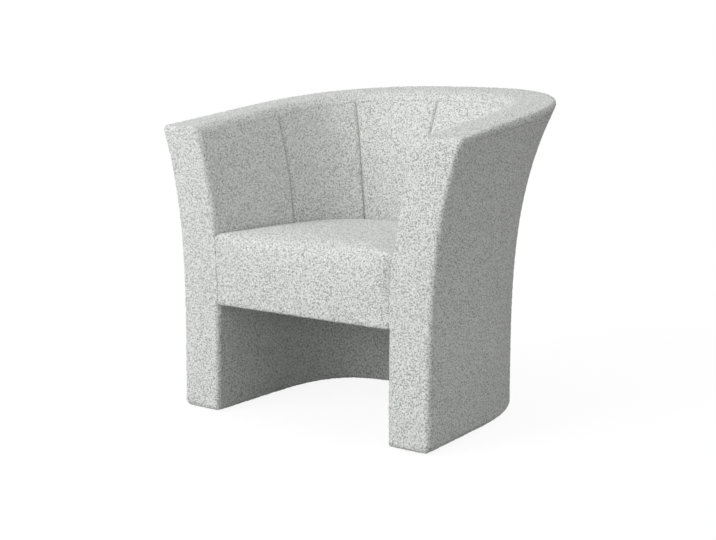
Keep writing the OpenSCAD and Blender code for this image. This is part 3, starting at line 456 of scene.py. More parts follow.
def beech_material():
    """Planed beech: warm pinkish brown, with dark flecks about 8 mm long and 1 mm wide along the grain."""
    mat, tree = new_material("planed_beech")
    here = add(tree, "ShaderNodeTexCoord").outputs["Object"]
    long_way = add(tree, "ShaderNodeMapping", {"Vector": here, "Scale": (6.0, 40.0, 40.0)})
    grain = add(tree, "ShaderNodeTexNoise",
                {"Vector": long_way.outputs[0], "Scale": 6.0, "Detail": 6.0, "Roughness": 0.65})
    flecks = add(tree, "ShaderNodeTexVoronoi", {"Vector": long_way.outputs[0], "Scale": 22.0})
    both = add(tree, "ShaderNodeMath", {0: flecks.outputs["Distance"], 1: 0.3, 2: grain.outputs[0]},
               operation="MULTIPLY_ADD")
    grained(tree, both.outputs[0], (0.35, "#a5774b"), (0.8, "#d3a878"), grain.outputs[0], 0.2, 0.0003,
            {"Roughness": 0.5})
    return mat


def speckled(name, dark, light, size, roughness, strength, depth, metallic=0.0, **more):
    """Material with one fine random grain of a size in metres, from a dark to a light tone."""
    mat, tree = new_material(name)
    here = add(tree, "ShaderNodeTexCoord").outputs["Object"]
    grain = add(tree, "ShaderNodeTexNoise",
                {"Vector": here, "Scale": 1 / (2 * size), "Detail": 4.0, "Roughness": 0.6})
    grained(tree, grain.outputs[0], (0.32, dark), (0.68, light), grain.outputs[0], strength, depth,
            {"Roughness": roughness, "Metallic": metallic, **more})
    return mat


BOUCLE = boucle_material()
CURLS = curls_tree()
PLYWOOD, BEECH = plywood_material(), beech_material()
# Pressed fibreboard: brown and dull, with fibres about 2 mm long
FIBREBOARD = speckled("pressed_fibreboard", "#6d4f33", "#9a7650", 0.002, 0.85, 0.3, 0.0004)
# Cut polyurethane foam: pale yellow, with open cells about 1 mm across
FOAM = speckled("cut_polyurethane_foam", "#d9cd98", "#f2ebc4", 0.001, 0.95, 0.6, 0.0008)
# Bonded polyester wadding: white and woolly, with clumps about 6 mm across
WADDING = speckled("bonded_polyester_wadding", "#d5d6d4", "#f4f4f2", 0.006, 0.95, 0.7, 0.0015,
                   **{"Sheen Weight": 0.3})
# Needled felt: dark grey, with mixed fibres about 1.5 mm long
FELT = speckled("needled_grey_felt", "#3c3b3a", "#6b6967", 0.0015, 0.95, 0.6, 0.0008)
# Spun-bonded black cloth: thin and dull, with a pressed mark every 1.5 mm
BLACK_CLOTH = speckled("spun_bonded_black_cloth", "#0e0e10", "#1d1d20", 0.0015, 0.85, 0.5, 0.0004)
# Oil-tempered spring steel: dark grey-brown with a dull shine
SPRING_STEEL = speckled("oil_tempered_spring_steel", "#4a4744", "#6a6662", 0.003, 0.42, 0.1, 0.0001, 1.0)
# Zinc-plated steel: bright grey with a faint mottling
ZINC_STEEL = speckled("zinc_plated_steel", "#a9adae", "#c8cbca", 0.002, 0.35, 0.1, 0.0001, 1.0)
# Moulded polypropylene: black with a fine spark-eroded grain
BLACK_PLASTIC = speckled("moulded_black_polypropylene", "#0b0b0c", "#18181a", 0.0008, 0.5, 0.3, 0.0002)

FINISHES = {"boucle": BOUCLE, "plywood": PLYWOOD, "beech": BEECH, "fibreboard": FIBREBOARD, "foam": FOAM,
            "wadding": WADDING, "felt": FELT, "black_cloth": BLACK_CLOTH, "spring_steel": SPRING_STEEL,
            "zinc_steel": ZINC_STEEL, "black_plastic": BLACK_PLASTIC}


def place(piece, slot, *nodes):
    """Lets a piece ride on the chair and stand for its nodes."""
    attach(piece, "root")
    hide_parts(*nodes)
    return piece


# ---- Covers -------------------------------------------------------------------------------------------------

# The part of a cover that is turned under the base: its rows' depths, its height over the hem, its share of boucle
OUTER_FLAP, INNER_FLAP = (0.03, 0.025, 0.0205), (0.022, 0.017, 0.0125)
FLAP_LIFT, FLAP_LUMP = 0.0006, 0.3
# The rim's dome: its height, middle and half width across the rim, and the run over which it starts at the arms
RIM_DOME, DOME_MIDDLE, DOME_HALF, DOME_START = 0.002, 0.055, 0.05, 0.06
# How far the inside seams still dip the rim cover, as a share of their depth, and the share of the height over
# which they grow shallower towards it
RIM_SEAM_SHARE, RIM_SEAM_FADE = 0.4, 0.03
# Arm fronts: height of the finely divided top, rough width, belly of the middle and the margin that it grows over
FRONT_TOP, FRONT_WIDTH, FRONT_BELLY, FRONT_MARGIN = 0.02, 0.104, 0.0012, 0.03
# Heights over which the seat starts to press the arms' inner edges at its underside, and half of that at its top
PRESS_FOOT, PRESS_TOP = 0.02, 0.008
# A seam's soft dip and narrow cut: depth and reach of each
SEAM_DIP, DIP_REACH, SEAM_CUT, CUT_REACH = 0.004, 0.01, 0.0042, 0.0048
# The dip fades towards the rim, from this far past it, over this share of the height, and to this share of itself
FADE_END, FADE_LENGTH, FADE_TO = 1.03, 0.1, 0.5
# Rows of points beside a seam, where the evenly spaced ones begin, and how near to a seam the boucle is flattened
# Near a seam the lowered boucle is also painted darker: painted shade in the seam's crease
SEAM_ROWS, EVEN_FROM, FLAT_SHADE_NEAR, FLAT_SHADE_SHARE = (0, 0.0007, 0.0015, 0.0025, 0.0038), 0.0055, 0.006, 0.25
# Height of the top of the lower inside cover, just under the seat frame
LOWER_TOP = 0.256
# How much higher than the arms the inside panels are, on average
MEAN_RISE = 0.03


def away_from_tub(p):
    """Way that the wall's outside looks."""
    return p - np.array([0, 0, 0.3])


def towards_tub(p):
    """Way that the wall's inside looks."""
    return np.array([0, 0.02, 0]) - p * np.array([1, 1, 0])


def upwards(p):
    """Way that the rim looks."""
    return np.array([0, 0, 1.0]) + 0 * p


def forwards(p):
    """Way that the arm fronts look."""
    return np.array([0, -1.0, 0]) + 0 * p


def cover(name, p, lump, outward):
    """Fabric of a cover, with the boucle raised on its face."""
    piece = skin(name + "_fabric", p, COVER_THICKNESS, lump, outward)
    return place(curled(piece), "boucle", name)


def outer_cover():
    """Cover of the wall's outside, from the part turned under the base, round the hem, to the rim."""
    side, q = columns(WIDE)
    turns = np.radians(np.linspace(0, 90, 11))[None, :-1]
    flap = len(OUTER_FLAP)
    top = 1 - rim_outer(q) / ARM_HEIGHT
    # The levels climb towards the back, but the hem stays level, just under the base's cloth
    height = ARM_HEIGHT + RIM_SLOPE * plan(q)[1]
    hem_s = (HEM_HEIGHT + HEM_RADIUS) / height
    n = round((ARM_HEIGHT - HEM_HEIGHT - HEM_RADIUS - RIM_OUTER_FRONT) / WIDE)
    s = np.concatenate([
        (HEM_HEIGHT + FLAP_LIFT) / height * np.ones((1, flap)),
        (HEM_HEIGHT + HEM_RADIUS * (1 - np.cos(turns))) / height,
        hem_s + (top - hem_s) * np.linspace(0, 1, n + 1)[None, :]], 1)
    depth = np.concatenate([
        np.broadcast_to(OUTER_FLAP, (len(q), flap)),
        np.broadcast_to(HEM_RADIUS * (1 - np.sin(turns)), (len(q), 10)),
        np.zeros((len(q), n + 1))], 1)
    p = wall_points(side, q, outer_offset(s) - depth, s, ARM_EDGE)
    lump = np.ones(p.shape[:2])
    lump[:, :flap] = FLAP_LUMP
    return cover("outer_cover", p, lump, away_from_tub)


def rim_cover():
    """Cover of the rim, round on both sides and a little domed, with a dip where each inside seam reaches it."""
    side, q = columns(FINE)
    ro = rim_outer(q)
    a = np.radians(np.linspace(0, 90, 21))[None, :]
    b = np.radians(np.linspace(90, 0, 12))[None, :]
    flat = np.linspace(0, 1, 24)[None, 1:-1]
    inner = RIM_THICKNESS - RIM_INNER
    depth = np.concatenate([ro * (1 - np.cos(a)), ro + (inner - ro) * flat,
                            inner + RIM_INNER * np.cos(b) * np.ones_like(q)], 1)
    drop = np.concatenate([ro * (1 - np.sin(a)), 0 * flat * ro, RIM_INNER * (1 - np.sin(b)) * np.ones_like(q)], 1)
    across = unit(1 - ((depth - DOME_MIDDLE) / DOME_HALF) ** 2)
    dome = RIM_DOME * across * unit(run_of(q) / DOME_START)
    s = 1 - (drop - dome) / ARM_HEIGHT
    gap = np.minimum.reduce([np.abs(run_of(q) - run_of(SEAM_PLACES[k][1])) for k in (1, 2, 3)])
    inwards = unit(1 - (RIM_THICKNESS - depth) / RIM_INNER)
    depth = depth - RIM_SEAM_SHARE * seam_groove(gap, 1.0) * inwards
    p = wall_points(side, q, outer_offset(s) - depth * wall_at(s) / RIM_THICKNESS, s, ARM_EDGE)
    return cover("rim_cover", p, np.ones(p.shape[:2]), upwards)


def edge_steps(radius, count):
    """Places from an edge inwards, close together over its round."""
    return radius * (1 - np.cos(np.radians(np.linspace(0, 90, count))))


def arm_front(side, name):
    """Cover of an arm's front: a tall panel that rolls back along all its edges."""
    height = ARM_HEIGHT - HEM_HEIGHT
    top, foot = edge_steps(FRONT_TOP, 10), edge_steps(HEM_RADIUS, 8)
    n = round((height - FRONT_TOP - HEM_RADIUS) / FINE)
    middle = np.linspace(FRONT_TOP, height - HEM_RADIUS, n + 1)[:-1]
    drop = np.concatenate([top[:-1], middle, (height - foot)[::-1]])[:, None]
    s = 1 - drop / ARM_HEIGHT
    width = wall_at(s)
    above = height - drop
    low = np.maximum(roll(drop, RIM_OUTER_FRONT), roll(above, HEM_RADIUS))
    high = width - np.maximum(roll(drop, RIM_INNER), roll(above, INNER_HEM))
    edge = edge_steps(ARM_EDGE, 8) / FRONT_WIDTH
    inset = ARM_EDGE / FRONT_WIDTH
    t = np.concatenate([edge, np.linspace(inset, 1 - inset, 32)[1:-1], 1 - edge[::-1]])
    d = low + (high - low) * t[None, :]
    # Distances to the outline, which is round at the four corners
    reach = np.minimum(d, np.minimum(drop, above))
    within = width - d
    for dx, dz, radius in ((d, drop, RIM_OUTER_FRONT), (d, above, HEM_RADIUS)):
        corner = (dx < radius) & (dz < radius)
        reach = np.where(corner, radius - np.hypot(radius - dx, radius - dz), reach)
    for dz, radius in ((drop, RIM_INNER), (above, INNER_HEM)):
        corner = (within < radius) & (dz < radius)
        within = np.where(corner, radius - np.hypot(radius - within, radius - dz), within)
    # The seat presses the inner edge sharper where it stands between the arms
    z = ARM_HEIGHT - drop
    pressed = unit((z - SEAT_UNDERSIDE) / PRESS_FOOT) * unit((SEAT_FRONT_HEIGHT + PRESS_TOP - z) / (2 * PRESS_TOP))
    radius = ARM_EDGE + (ARM_EDGE_AT_SEAT - ARM_EDGE) * pressed
    inner_roll = radius - np.sqrt(np.maximum(0, radius ** 2 - (radius - np.clip(within, 0, radius)) ** 2))
    inner_roll = np.where(within < 1e-6, ARM_EDGE, inner_roll)
    setback = np.maximum(roll(reach, ARM_EDGE), inner_roll)
    setback = setback - FRONT_BELLY * unit((np.minimum(reach, within) - ARM_EDGE) / FRONT_MARGIN)
    p = wall_points(side, np.zeros_like(d), outer_offset(s) - d, s, setback)
    return cover(name, p, np.ones(p.shape[:2]), forwards)


def seam_groove(gap, s):
    """Depth of the wall's padding and cover at a distance from a seam."""
    fade = np.clip((FADE_END - s) / FADE_LENGTH, FADE_TO, 1)
    cut = unit(1 - gap / CUT_REACH)
    return fade * SEAM_DIP * np.exp(-(gap / DIP_REACH) ** 2) + SEAM_CUT * cut ** 2


def inside_panel(k, side, name):
    """One of the panels of the inside back, between seam k and seam k + 1 of its side."""
    top_s = 1 - RIM_INNER / ARM_HEIGHT
    n = round((top_s - TUCK_S) * (ARM_HEIGHT + MEAN_RISE) / FINE)
    s = np.linspace(TUCK_S, top_s, n + 1)[None, :]
    run = run_of(SEAM_PLACES[k + 1][0]) - run_of(SEAM_PLACES[k][0])
    near = np.array(SEAM_ROWS)
    count = max(4, round((run - 2 * SEAM_ROWS[-1]) / FINE))
    steps = np.concatenate([near, np.linspace(EVEN_FROM, run - EVEN_FROM, count), (run - near)[::-1]]) / run
    if k == 0:
        # The first panel begins at the arm's edge, not at a seam
        steps = np.concatenate([np.linspace(0, 1 - EVEN_FROM / run, count + 3), (run - near)[::-1] / run])
    f = steps[:, None]
    start, end = run_of(seam_place(k, s)), run_of(seam_place(k + 1, s))
    q = place_of(start + (end - start) * f)
    gap = np.minimum(f if k else 1.0 + 0 * f, 1 - f) * (end - start)
    # The groove grows shallower just under the rim, so that the rim cover meets it
    full = unit((top_s - s) / RIM_SEAM_FADE)
    dip = seam_groove(gap, s) * (RIM_SEAM_SHARE + (1 - RIM_SEAM_SHARE) * full)
    p = wall_points(side, q, outer_offset(s) - wall_at(s) + dip, s, ARM_EDGE)
    # Near the seam the boucle is lower, and the material paints it darker there: painted shade
    lump = FLAT_SHADE_SHARE + (1 - FLAT_SHADE_SHARE) * unit(gap / FLAT_SHADE_NEAR)
    return cover(name, p, lump, towards_tub)


def lower_inside_cover():
    """Cover of the wall's inside under the seat, down to the part turned under the base."""
    side, q = columns(LOWER)
    turns = np.radians(np.linspace(0, 90, 7))[None, :-1]
    flap, rows = len(INNER_FLAP), 86
    z = np.concatenate([np.full((1, flap), HEM_HEIGHT + FLAP_LIFT), HEM_HEIGHT + INNER_HEM * (1 - np.cos(turns)),
                        np.linspace(HEM_HEIGHT + INNER_HEM, LOWER_TOP, rows)[None, :]], 1)
    depth = np.concatenate([[INNER_FLAP], INNER_HEM * (1 - np.sin(turns)), np.zeros((1, rows))], 1)
    s = level_at(side, q, z)
    p = wall_points(side, q, outer_offset(s) - wall_at(s) + depth, s, ARM_EDGE)
    lump = np.ones(p.shape[:2])
    lump[:, :flap] = FLAP_LUMP
    return cover("lower_inside_cover", p, lump, towards_tub)


# ---- Seat ---------------------------------------------------------------------------------------------------

# Spacing of the points round the seat
SEAT_STEP = 0.012
# Where the seat's block starts over the wall's tuck, and how far its edge lies under the top
SEAT_FOOT, EDGE_DROP = 0.001, 0.02
# Shares of the way in from the edge to the middle, close together over the edge's round
RING_SHARES = 1 - np.linspace(0, 0.96, 34) ** 1.6
# Width beside the arms over which the round of the front grows to its full size
END_BLEND = 0.09
# The block is made this much lower than the finished crown, and a little more in its middle, as the cloth swells
SWELL_ROOM, MIDDLE_ROOM = 0.003, 0.004
# The apron: its depth, its top, the round of its lower edge, and the heights of the rows on its face
APRON_DEPTH, APRON_TOP, APRON_ROUND, APRON_ROWS = 0.032, 0.368, 0.009, (0.275, 0.3, 0.325, 0.35)
# The fold beside the right arm: its foot and top, how it fades there, and how far it reaches in and back
FOLD_FOOT, FOLD_TOP, FOLD_FADE, FOLD_REACH, FOLD_DEPTH = 0.312, 0.402, 0.014, 0.013, 0.02
# Share of the boucle's height that the fold presses out
# The same share darkens the fold's colour: painted shade beside the right arm
FOLD_PRESS_SHADE = 0.75
# The front's upright corners: how far in they are sharp, and how far from the seat's foot and top they end
CORNER_REACH, CORNER_FOOT, CORNER_TOP = 0.0045, 0.008, 0.012
# The seat's cloth: its squares, the pressure under it, the frames that it gets, and the most that it may swell
VOXEL, PRESSURE, FRAMES, SWELL_CAP = 0.005, 4.0, 20, 0.005
# Where the cloth gets free to swell, and over which length: over the block's edge, behind the front, over the
# apron's foot and in from the wall. What is less free than HELD is pinned.
TOP_FREE, TOP_OVER, FRONT_OVER, FOOT_FREE, FOOT_OVER = 0.385, 0.02, 0.02, 0.004, 0.03
SIDE_FREE, SIDE_OVER, HELD = 0.004, 0.05, 0.05


def seat_outline(z):
    """Loop round the seat at height z: up the right side, round the back, down the left and along the front. Gives
    the loop and its part along the wall."""
    side, q = both_ways(SEAT_STEP)
    s = level_at(side, q, z)
    wall = wall_points(side, q, outer_offset(s) - wall_at(s) - SEAT_GAP, s, 0)
    front = np.linspace(wall[-1], wall[0], 40)[1:-1]
    return np.concatenate([wall, front]), wall


def distance_to(points, path):
    """Distance of each point from a path, seen from above."""
    a, b = path[:-1, :2], path[1:, :2]
    ab = b - a
    best = np.full(len(points), 1e9)
    for i in range(len(a)):
        t = unit(((points[:, :2] - a[i]) @ ab[i]) / (ab[i] @ ab[i]))
        best = np.minimum(best, np.linalg.norm(points[:, :2] - (a[i] + t[:, None] * ab[i]), axis=1))
    return best


def seat_block():
    """Plain closed shape of the seat: the cushion between the arms and the apron that hangs over its front."""
    low_z = TUCK_Z + SEAT_FOOT
    low = seat_outline(low_z)[0]
    edge, wall = seat_outline(SEAT_FRONT_HEIGHT - EDGE_DROP)
    centre = np.array([0, SIDE_LENGTH - MID_Y, 0])
    front_y = edge[-1][1]
    rings = []
    for share in RING_SHARES:
        ring = centre + (edge - centre) * [share, share, 0]
        side_d, front_d = distance_to(ring, wall), ring[:, 1] - front_y
        top = SEAT_FRONT_HEIGHT - SEAT_FALL * (ring[:, 1] + MID_Y) / FLOOR_DEPTH
        inward = unit(side_d / END_BLEND)
        front_roll = SEAT_END_ROLL + (SEAT_FRONT_ROLL - SEAT_END_ROLL) * inward * inward * (3 - 2 * inward)
        fall = roll(side_d, SEAT_SIDE_ROLL) + roll(front_d, front_roll)
        ring[:, 2] = top + (SEAT_CROWN - SWELL_ROOM) * (1 - share ** 2) - np.minimum(fall, SEAT_FRONT_ROLL)
        rings.append(ring)
    rings = [low] + rings
    peak = SEAT_FRONT_HEIGHT + SEAT_CROWN - MIDDLE_ROOM
    points = np.concatenate(rings + [[[0, centre[1], peak]], [[0, centre[1], low_z]]])
    n, m = len(low), len(rings)
    faces = [[j * n + i, j * n + (i + 1) % n, (j + 1) * n + (i + 1) % n, (j + 1) * n + i]
             for j in range(m - 1) for i in range(n)]
    faces += [[(m - 1) * n + i, (m - 1) * n + (i + 1) % n, m * n] for i in range(n)]
    faces += [[(i + 1) % n, i, m * n + 1] for i in range(n)]
    # The apron, with a round lower edge and a flap that turns under the front rail
    base = len(points)
    section = [(APRON_DEPTH, APRON_TOP), (APRON_DEPTH, SEAT_UNDERSIDE)]
    section += [(APRON_ROUND * (1 - math.sin(a)), SEAT_UNDERSIDE + APRON_ROUND * (1 - math.cos(a)))
                for a in np.radians([0, 22, 45, 68, 90])]
    section += [(0.0, z) for z in (*APRON_ROWS, APRON_TOP)]
    across = np.linspace(-1, 1, 41)
    apron = []
    for c in across:
        for y, z in section:
            s = level_at(1.0, 0.0, z)
            x = wall_points(1, 0, outer_offset(s) - wall_at(s) - SEAT_GAP, s, y)[0]
            apron.append([c * x, FRONT_LEAN * s + y - MID_Y, z])
    k = len(section)
    for j in range(len(across) - 1):
        row, following = base + j * k, base + (j + 1) * k
        faces += [[row + i, following + i, following + (i + 1) % k, row + (i + 1) % k] for i in range(k)]
    faces += [[base + i for i in range(k)], [base + (len(across) - 1) * k + i for i in reversed(range(k))]]
    return new_piece("seat_cover_fabric", np.concatenate([points, apron]), faces)


def beside_arm(points):
    """For points on the seat: whether they are on the right, how far from the arm and from the front they are, and
    how high."""
    z = points[:, 2]
    s = level_at(1.0, 0.0, z)
    depth = points[:, 1] + MID_Y - FRONT_LEAN * s
    reach = wall_points(1.0, 0.0, outer_offset(s) - wall_at(s) - SEAT_GAP, s, depth)[:, 0]
    return points[:, 0] > 0, reach - np.abs(points[:, 0]), depth, z


def end_share(gap, depth):
    """How near to an arm and to the front each point is, from 0 to 1."""
    return np.exp(-(gap / FOLD_REACH) ** 2) * unit(1 - depth / FOLD_DEPTH)


def fold_share(right, gap, depth, z):
    """How much of the fold beside the right arm each point takes."""
    band = unit((z - FOLD_FOOT) / FOLD_FADE) * unit((FOLD_TOP - z) / FOLD_FADE)
    return right * band * end_share(gap, depth)


def swollen(piece, rest, free):
    """Points of the seat after its cloth has swelled over the foam, as far as each is free to."""
    group = piece.vertex_groups.new(name="held")
    for i in np.nonzero(free < HELD)[0]:
        group.add([int(i)], 1.0, "REPLACE")
    cloth = piece.modifiers.new("cover", "CLOTH")
    cloth.settings.quality = 4
    cloth.settings.mass = 0.3
    cloth.settings.tension_stiffness = cloth.settings.compression_stiffness = 12
    cloth.settings.bending_stiffness = 3
    cloth.settings.use_pressure = True
    cloth.settings.uniform_pressure_force = PRESSURE
    cloth.settings.vertex_group_mass = "held"
    cloth.settings.effector_weights.gravity = 0
    cloth.point_cache.frame_start, cloth.point_cache.frame_end = 1, FRAMES
    for number in range(1, FRAMES + 1):
        bpy.context.scene.frame_set(number)
    applied(piece)
    bpy.context.scene.frame_set(1)
    swell = points_of(piece.data) - rest
    size = np.linalg.norm(swell, axis=1, keepdims=True)
    return rest + swell * (np.minimum(1, SWELL_CAP / np.maximum(size, 1e-9)) * free[:, None])


def seat_cover():
    """Cover of the seat with its apron, swelled by a cloth simulation and pulled down round its edges."""
    piece = seat_block()
    remesh = piece.modifiers.new("even", "REMESH")
    remesh.mode, remesh.voxel_size = "VOXEL", VOXEL
    applied(piece)
    rest = points_of(piece.data)
    side_d = distance_to(rest, seat_outline(SEAT_FRONT_HEIGHT - EDGE_DROP)[1])
    front_d = rest[:, 1] + MID_Y
    # How freely the cover swells: not at all where it is pulled down beside the wall or under the rail
    top_free = unit((rest[:, 2] - TOP_FREE) / TOP_OVER)
    foot_free = unit((rest[:, 2] - SEAT_UNDERSIDE - FOOT_FREE) / FOOT_OVER)
    front_free = unit(1 - front_d / FRONT_OVER) * foot_free
    free = unit((side_d - SIDE_FREE) / SIDE_OVER) * np.maximum(top_free, front_free)
    rest = swollen(piece, rest, free)
    # Beside the arms the front's upright corners are close and sharp
    right, gap, depth, z = beside_arm(rest)
    corner = ((np.maximum(gap, depth) < CORNER_REACH) & (z > SEAT_UNDERSIDE + CORNER_FOOT)
              & (z < SEAT_FRONT_HEIGHT - CORNER_TOP))
    rest[:, 0] += np.where(corner & (gap <= depth), np.sign(rest[:, 0]) * gap, 0)
    rest[:, 1] -= np.where(corner & (gap > depth), depth, 0)
    # The front is tucked in a little at the right arm, deepest in the fold, and stands out as little at the left
    tuck = end_share(gap, depth) * np.where(right, SEAT_TUCK, -SEAT_TUCK)
    rest[:, 1] += tuck + SEAT_FOLD * fold_share(right, gap, depth, z)
    piece.data.vertices.foreach_set("co", rest.astype(np.float32).ravel())
    piece.vertex_groups.clear()
    smooth = piece.modifiers.new("finer", "SUBSURF")
    smooth.levels = smooth.render_levels = 1
    applied(piece)
    mesh = piece.data
    mesh.update()
    out = np.empty(len(mesh.vertices) * 3, np.float32)
    mesh.vertex_normals.foreach_get("vector", out)
    # In the fold the boucle is lowered, and the material paints it darker there: painted shade
    pressed = fold_share(*beside_arm(points_of(mesh)))
    out = (out.reshape(-1, 3) * (1 - FOLD_PRESS_SHADE * pressed[:, None])).astype(np.float32).ravel()
    mesh.attributes.new("out", "FLOAT_VECTOR", "POINT").data.foreach_set("vector", out)
    place(curled(piece), "boucle", "seat_cover")


# ---- Padding and cloths under the covers ---------------------------------------------------------------------

# Spacing of the padding's points, its setback from the arm fronts, its depth under the covers, and its height over
# the outer hem
PAD_STEP, PAD_SETBACK, UNDER_COVER, PAD_OVER_HEM = 0.008, 0.0131, 0.0042, 0.005
# Thickness of each padding
OUTER_WADDING, BACK_FOAM, LOWER_WADDING = 0.0054, 0.02, 0.0072
# Foot and top of the wadding under the seat
LOWER_PAD_FOOT, LOWER_PAD_TOP = 0.007, 0.2545
# Squares that the flat cloths are cut up into
SHEET_STEP = 0.02


def padding(name, slot, node, p, thickness, way):
    """Smooth sheet of padding from a grid of points on its face."""
    piece = skin(name, p, thickness, np.ones(p.shape[:2]), way)
    piece.data.attributes.remove(piece.data.attributes["out"])
    piece.data.materials.append(FINISHES[slot])
    place(piece, slot, node)


def wall_paddings():
    """Wadding on the outside, foam on the inside back and wadding under the seat."""
    side, q = columns(PAD_STEP)
    s = np.linspace((HEM_HEIGHT + HEM_RADIUS + PAD_OVER_HEM) / ARM_HEIGHT, FOAM_TOP_S, 80)[None, :]
    p = wall_points(side, q, outer_offset(s) - UNDER_COVER, s, PAD_SETBACK)
    padding("outer_wadding_fleece", "wadding", "outer_wadding", p, OUTER_WADDING, away_from_tub)
    s = np.linspace(TUCK_S, FOAM_TOP_S, 48)[None, :]
    run = run_of(q)
    gap = np.minimum.reduce([np.abs(run - run_of(seam_place(k, s))) for k in (1, 2, 3)])
    p = wall_points(side, q, outer_offset(s) - wall_at(s) + UNDER_COVER + seam_groove(gap, s), s, PAD_SETBACK)
    padding("inside_back_foam_sheet", "foam", "inside_back_foam", p, BACK_FOAM, towards_tub)
    z = np.linspace(LOWER_PAD_FOOT, LOWER_PAD_TOP, 34)[None, :]
    s = level_at(side, q, z)
    p = wall_points(side, q, outer_offset(s) - wall_at(s) + UNDER_COVER, s, PAD_SETBACK)
    padding("lower_inside_wadding_fleece", "wadding", "lower_inside_wadding", p, LOWER_WADDING, towards_tub)


def merged_copy(node, name):
    """Joined-up copy of a solid's mesh."""
    mesh = frame["nodes"][node].data.copy()
    mesh.name = name
    work = bmesh.new()
    work.from_mesh(mesh)
    bmesh.ops.remove_doubles(work, verts=work.verts, dist=1e-6)
    work.to_mesh(mesh)
    work.free()
    mesh.materials.clear()
    piece = bpy.data.objects.new(name, mesh)
    bpy.context.scene.collection.objects.link(piece)
    return piece


def filling(node, name, slot, voxel, inset):
    """Soft block of foam or fleece with the corners of its solid rounded off."""
    piece = merged_copy(node, name)
    remesh = piece.modifiers.new("even", "REMESH")
    remesh.mode, remesh.voxel_size = "VOXEL", voxel
    soften = piece.modifiers.new("soften", "SMOOTH")
    soften.iterations, soften.factor = 4, 0.5
    applied(piece)
    co = points_of(piece.data)
    normal = np.empty(len(co) * 3, np.float32)
    piece.data.vertex_normals.foreach_get("vector", normal)
    piece.data.vertices.foreach_set("co", (co - inset * normal.reshape(-1, 3)).astype(np.float32).ravel())
    piece.data.materials.append(FINISHES[slot])
    place(piece, slot, node)


def flat_sheet(node, name, slot):
    """Flat cloth or felt, cut up into squares."""
    piece = merged_copy(node, name)
    work = bmesh.new()
    work.from_mesh(piece.data)
    low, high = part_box(node)
    for axis in (0, 1):
        for place_at in np.arange(low[axis] + SHEET_STEP / 2, high[axis], SHEET_STEP):
            plane = [0.0, 0.0, 0.0]
            plane[axis] = float(place_at)
            normal = [float(axis == 0), float(axis == 1), 0.0]
            bmesh.ops.bisect_plane(work, geom=work.verts[:] + work.edges[:] + work.faces[:], dist=1e-6,
                                   plane_co=plane, plane_no=normal)
    work.to_mesh(piece.data)
    work.free()
    piece.data.materials.append(FINISHES[slot])
    return place(piece, slot, node)


outer = outer_cover()
rim = rim_cover()
fronts = [arm_front(1, "arm_front_cover_right"), arm_front(-1, "arm_front_cover_left")]
panels = [inside_panel(k, 1, f"inside_panel_{k + 1}") for k in range(3)]
panels += [inside_panel(k, -1, f"inside_panel_{6 - k}") for k in range(3)]
lower = lower_inside_cover()
seat_cover()

wall_paddings()
# Node, piece, slot, voxel size and inset of each soft block
for soft_block in (
        ("rim_foam", "rim_foam_roll", "foam", 0.006, 0.0008),
        ("arm_front_foam_right", "arm_front_foam_right_pad", "foam", 0.004, 0.0005),
        ("arm_front_foam_left", "arm_front_foam_left_pad", "foam", 0.004, 0.0005),
        ("seat_foam", "seat_foam_block", "foam", 0.007, 0.0005),
        ("rear_seat_block", "rear_seat_block_foam", "foam", 0.006, 0.0005),
        ("seat_wrap", "seat_wrap_fleece", "wadding", 0.005, 0.0008)):
    filling(*soft_block)
flat_sheet("spring_pad", "spring_pad_felt", "felt")
dust_cloth = flat_sheet("seat_dust_cloth", "seat_dust_cloth_sheet", "black_cloth")
# The base's cloth is a strip as long as the wall's middle line
base_cloth = flat_sheet("base_cloth", "base_cloth_strip", "black_cloth")

# ---- Everything else keeps its solid ------------------------------------------------------------------------

slots = {part["node"]: part["material_slot"] for part in frame["record"]["subparts"]}
for name, node in frame["nodes"].items():
    node.data.materials.clear()
    node.data.materials.append(FINISHES[slots[name]])

# ---- Stage, light and camera --------------------------------------------------------------------------------

# Half the floor's width, and the distances over which it turns from shaded to plain white for the camera
FLOOR_HALF, SHADE_END, WHITE_FROM = 12.0, 0.9, 1.6


def either_way(tree, lit, seen):
    """Shader that lights the chair in one way and looks another way to the camera."""
    ray = add(tree, "ShaderNodeLightPath")
    either = add(tree, "ShaderNodeMath", {0: ray.outputs["Is Camera Ray"], 1: ray.outputs["Is Glossy Ray"]},
                 operation="MAXIMUM")
    pick = add(tree, "ShaderNodeMixShader", {0: either.outputs[0], 1: lit.outputs[0], 2: seen.outputs[0]})
    return pick.outputs[0]


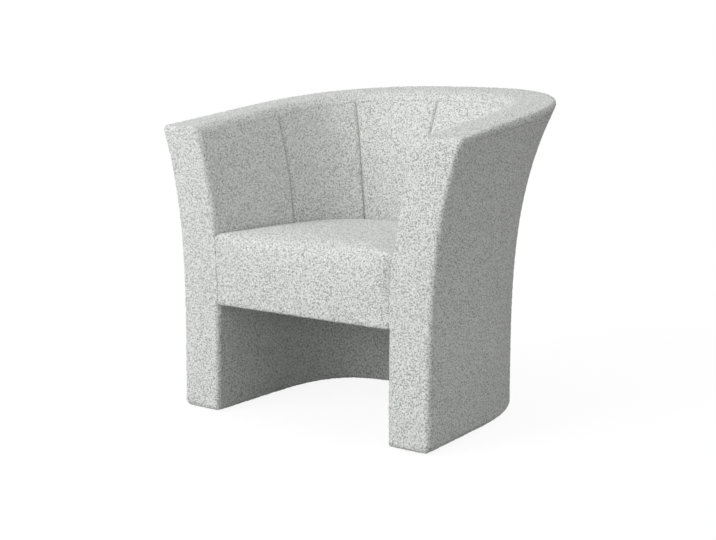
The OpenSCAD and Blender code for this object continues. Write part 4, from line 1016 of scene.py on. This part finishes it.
def floor():
    """Pale matt floor, which the camera sees as white with the chair's faint soft shadow."""
    mat, tree = new_material("white_studio_floor")
    here = add(tree, "ShaderNodeTexCoord").outputs["Object"]
    away = add(tree, "ShaderNodeVectorMath", {0: here}, operation="LENGTH")
    far = add(tree, "ShaderNodeMapRange",
              {"Value": away.outputs["Value"], "From Min": SHADE_END, "From Max": WHITE_FROM})
    plain = add(tree, "ShaderNodeBsdfDiffuse", {"Color": srgb("#a4a4a4")})
    faint = add(tree, "ShaderNodeBsdfDiffuse", {"Color": srgb("#707070")})
    glow = add(tree, "ShaderNodeEmission", {"Color": (1, 1, 1, 1), "Strength": 0.9})
    near_white = add(tree, "ShaderNodeAddShader", {0: faint.outputs[0], 1: glow.outputs[0]})
    full = add(tree, "ShaderNodeEmission", {"Color": (1, 1, 1, 1), "Strength": 1.0})
    white = add(tree, "ShaderNodeMixShader",
                {0: far.outputs["Result"], 1: near_white.outputs[0], 2: full.outputs[0]})
    add(tree, "ShaderNodeOutputMaterial", {"Surface": either_way(tree, plain, white)})
    corners = [[x * FLOOR_HALF, y * FLOOR_HALF, 0] for x, y in ((-1, -1), (1, -1), (1, 1), (-1, 1))]
    piece = new_piece("studio_floor", corners, [[0, 1, 2, 3]])
    piece.data.materials.append(mat)


def world():
    """Even light from all round, which the camera sees as white."""
    sky = bpy.data.worlds.new("studio")
    bpy.context.scene.world = sky
    sky.use_nodes = True
    tree = sky.node_tree
    tree.nodes.clear()
    light = add(tree, "ShaderNodeBackground", {"Color": (1, 1, 1, 1), "Strength": 0.472})
    white = add(tree, "ShaderNodeBackground", {"Color": (1, 1, 1, 1), "Strength": 1.0})
    add(tree, "ShaderNodeOutputWorld", {"Surface": either_way(tree, light, white)})


def lamp(name, place_at, aim, size, power):
    """Square soft box at a place, turned to what it lights."""
    data = bpy.data.lights.new(name, "AREA")
    data.shape, data.size, data.size_y, data.energy = "RECTANGLE", size, size, power
    thing = bpy.data.objects.new(name, data)
    thing.location = place_at
    thing.rotation_euler = (Vector(aim) - Vector(place_at)).to_track_quat("-Z", "Y").to_euler()
    bpy.context.scene.collection.objects.link(thing)


floor()
world()
# Place, aim, size in metres and power in watts of each soft box
lamp("key_softbox", (-2.4, -5.4, 2.8), (0, 0, 0.35), 3.6, 223)
lamp("side_softbox", (2.4, -4.2, 0.9), (0, 0, 0.25), 1.6, 21)
lamp("top_softbox", (-0.2, 0.3, 2.9), (0, 0, 0.4), 1.6, 8)

# The photograph's view, worked out from edges measured in it
AZIMUTH, ELEVATION, DISTANCE = math.radians(35.3185), math.radians(9.6584), 2.9659
target = Vector((-0.00658, 0.23664 - MID_Y, 0.32372))
camera = bpy.data.objects.new("camera", bpy.data.cameras.new("camera"))
camera.data.sensor_width, camera.data.lens = 36.0, 64.708
camera.location = target + DISTANCE * Vector((math.sin(AZIMUTH) * math.cos(ELEVATION),
                                              -math.cos(AZIMUTH) * math.cos(ELEVATION), math.sin(ELEVATION)))
camera.rotation_euler = (target - camera.location).to_track_quat("-Z", "Y").to_euler()
bpy.context.scene.collection.objects.link(camera)
bpy.context.scene.camera = camera
bpy.context.scene.view_settings.view_transform = "Standard"
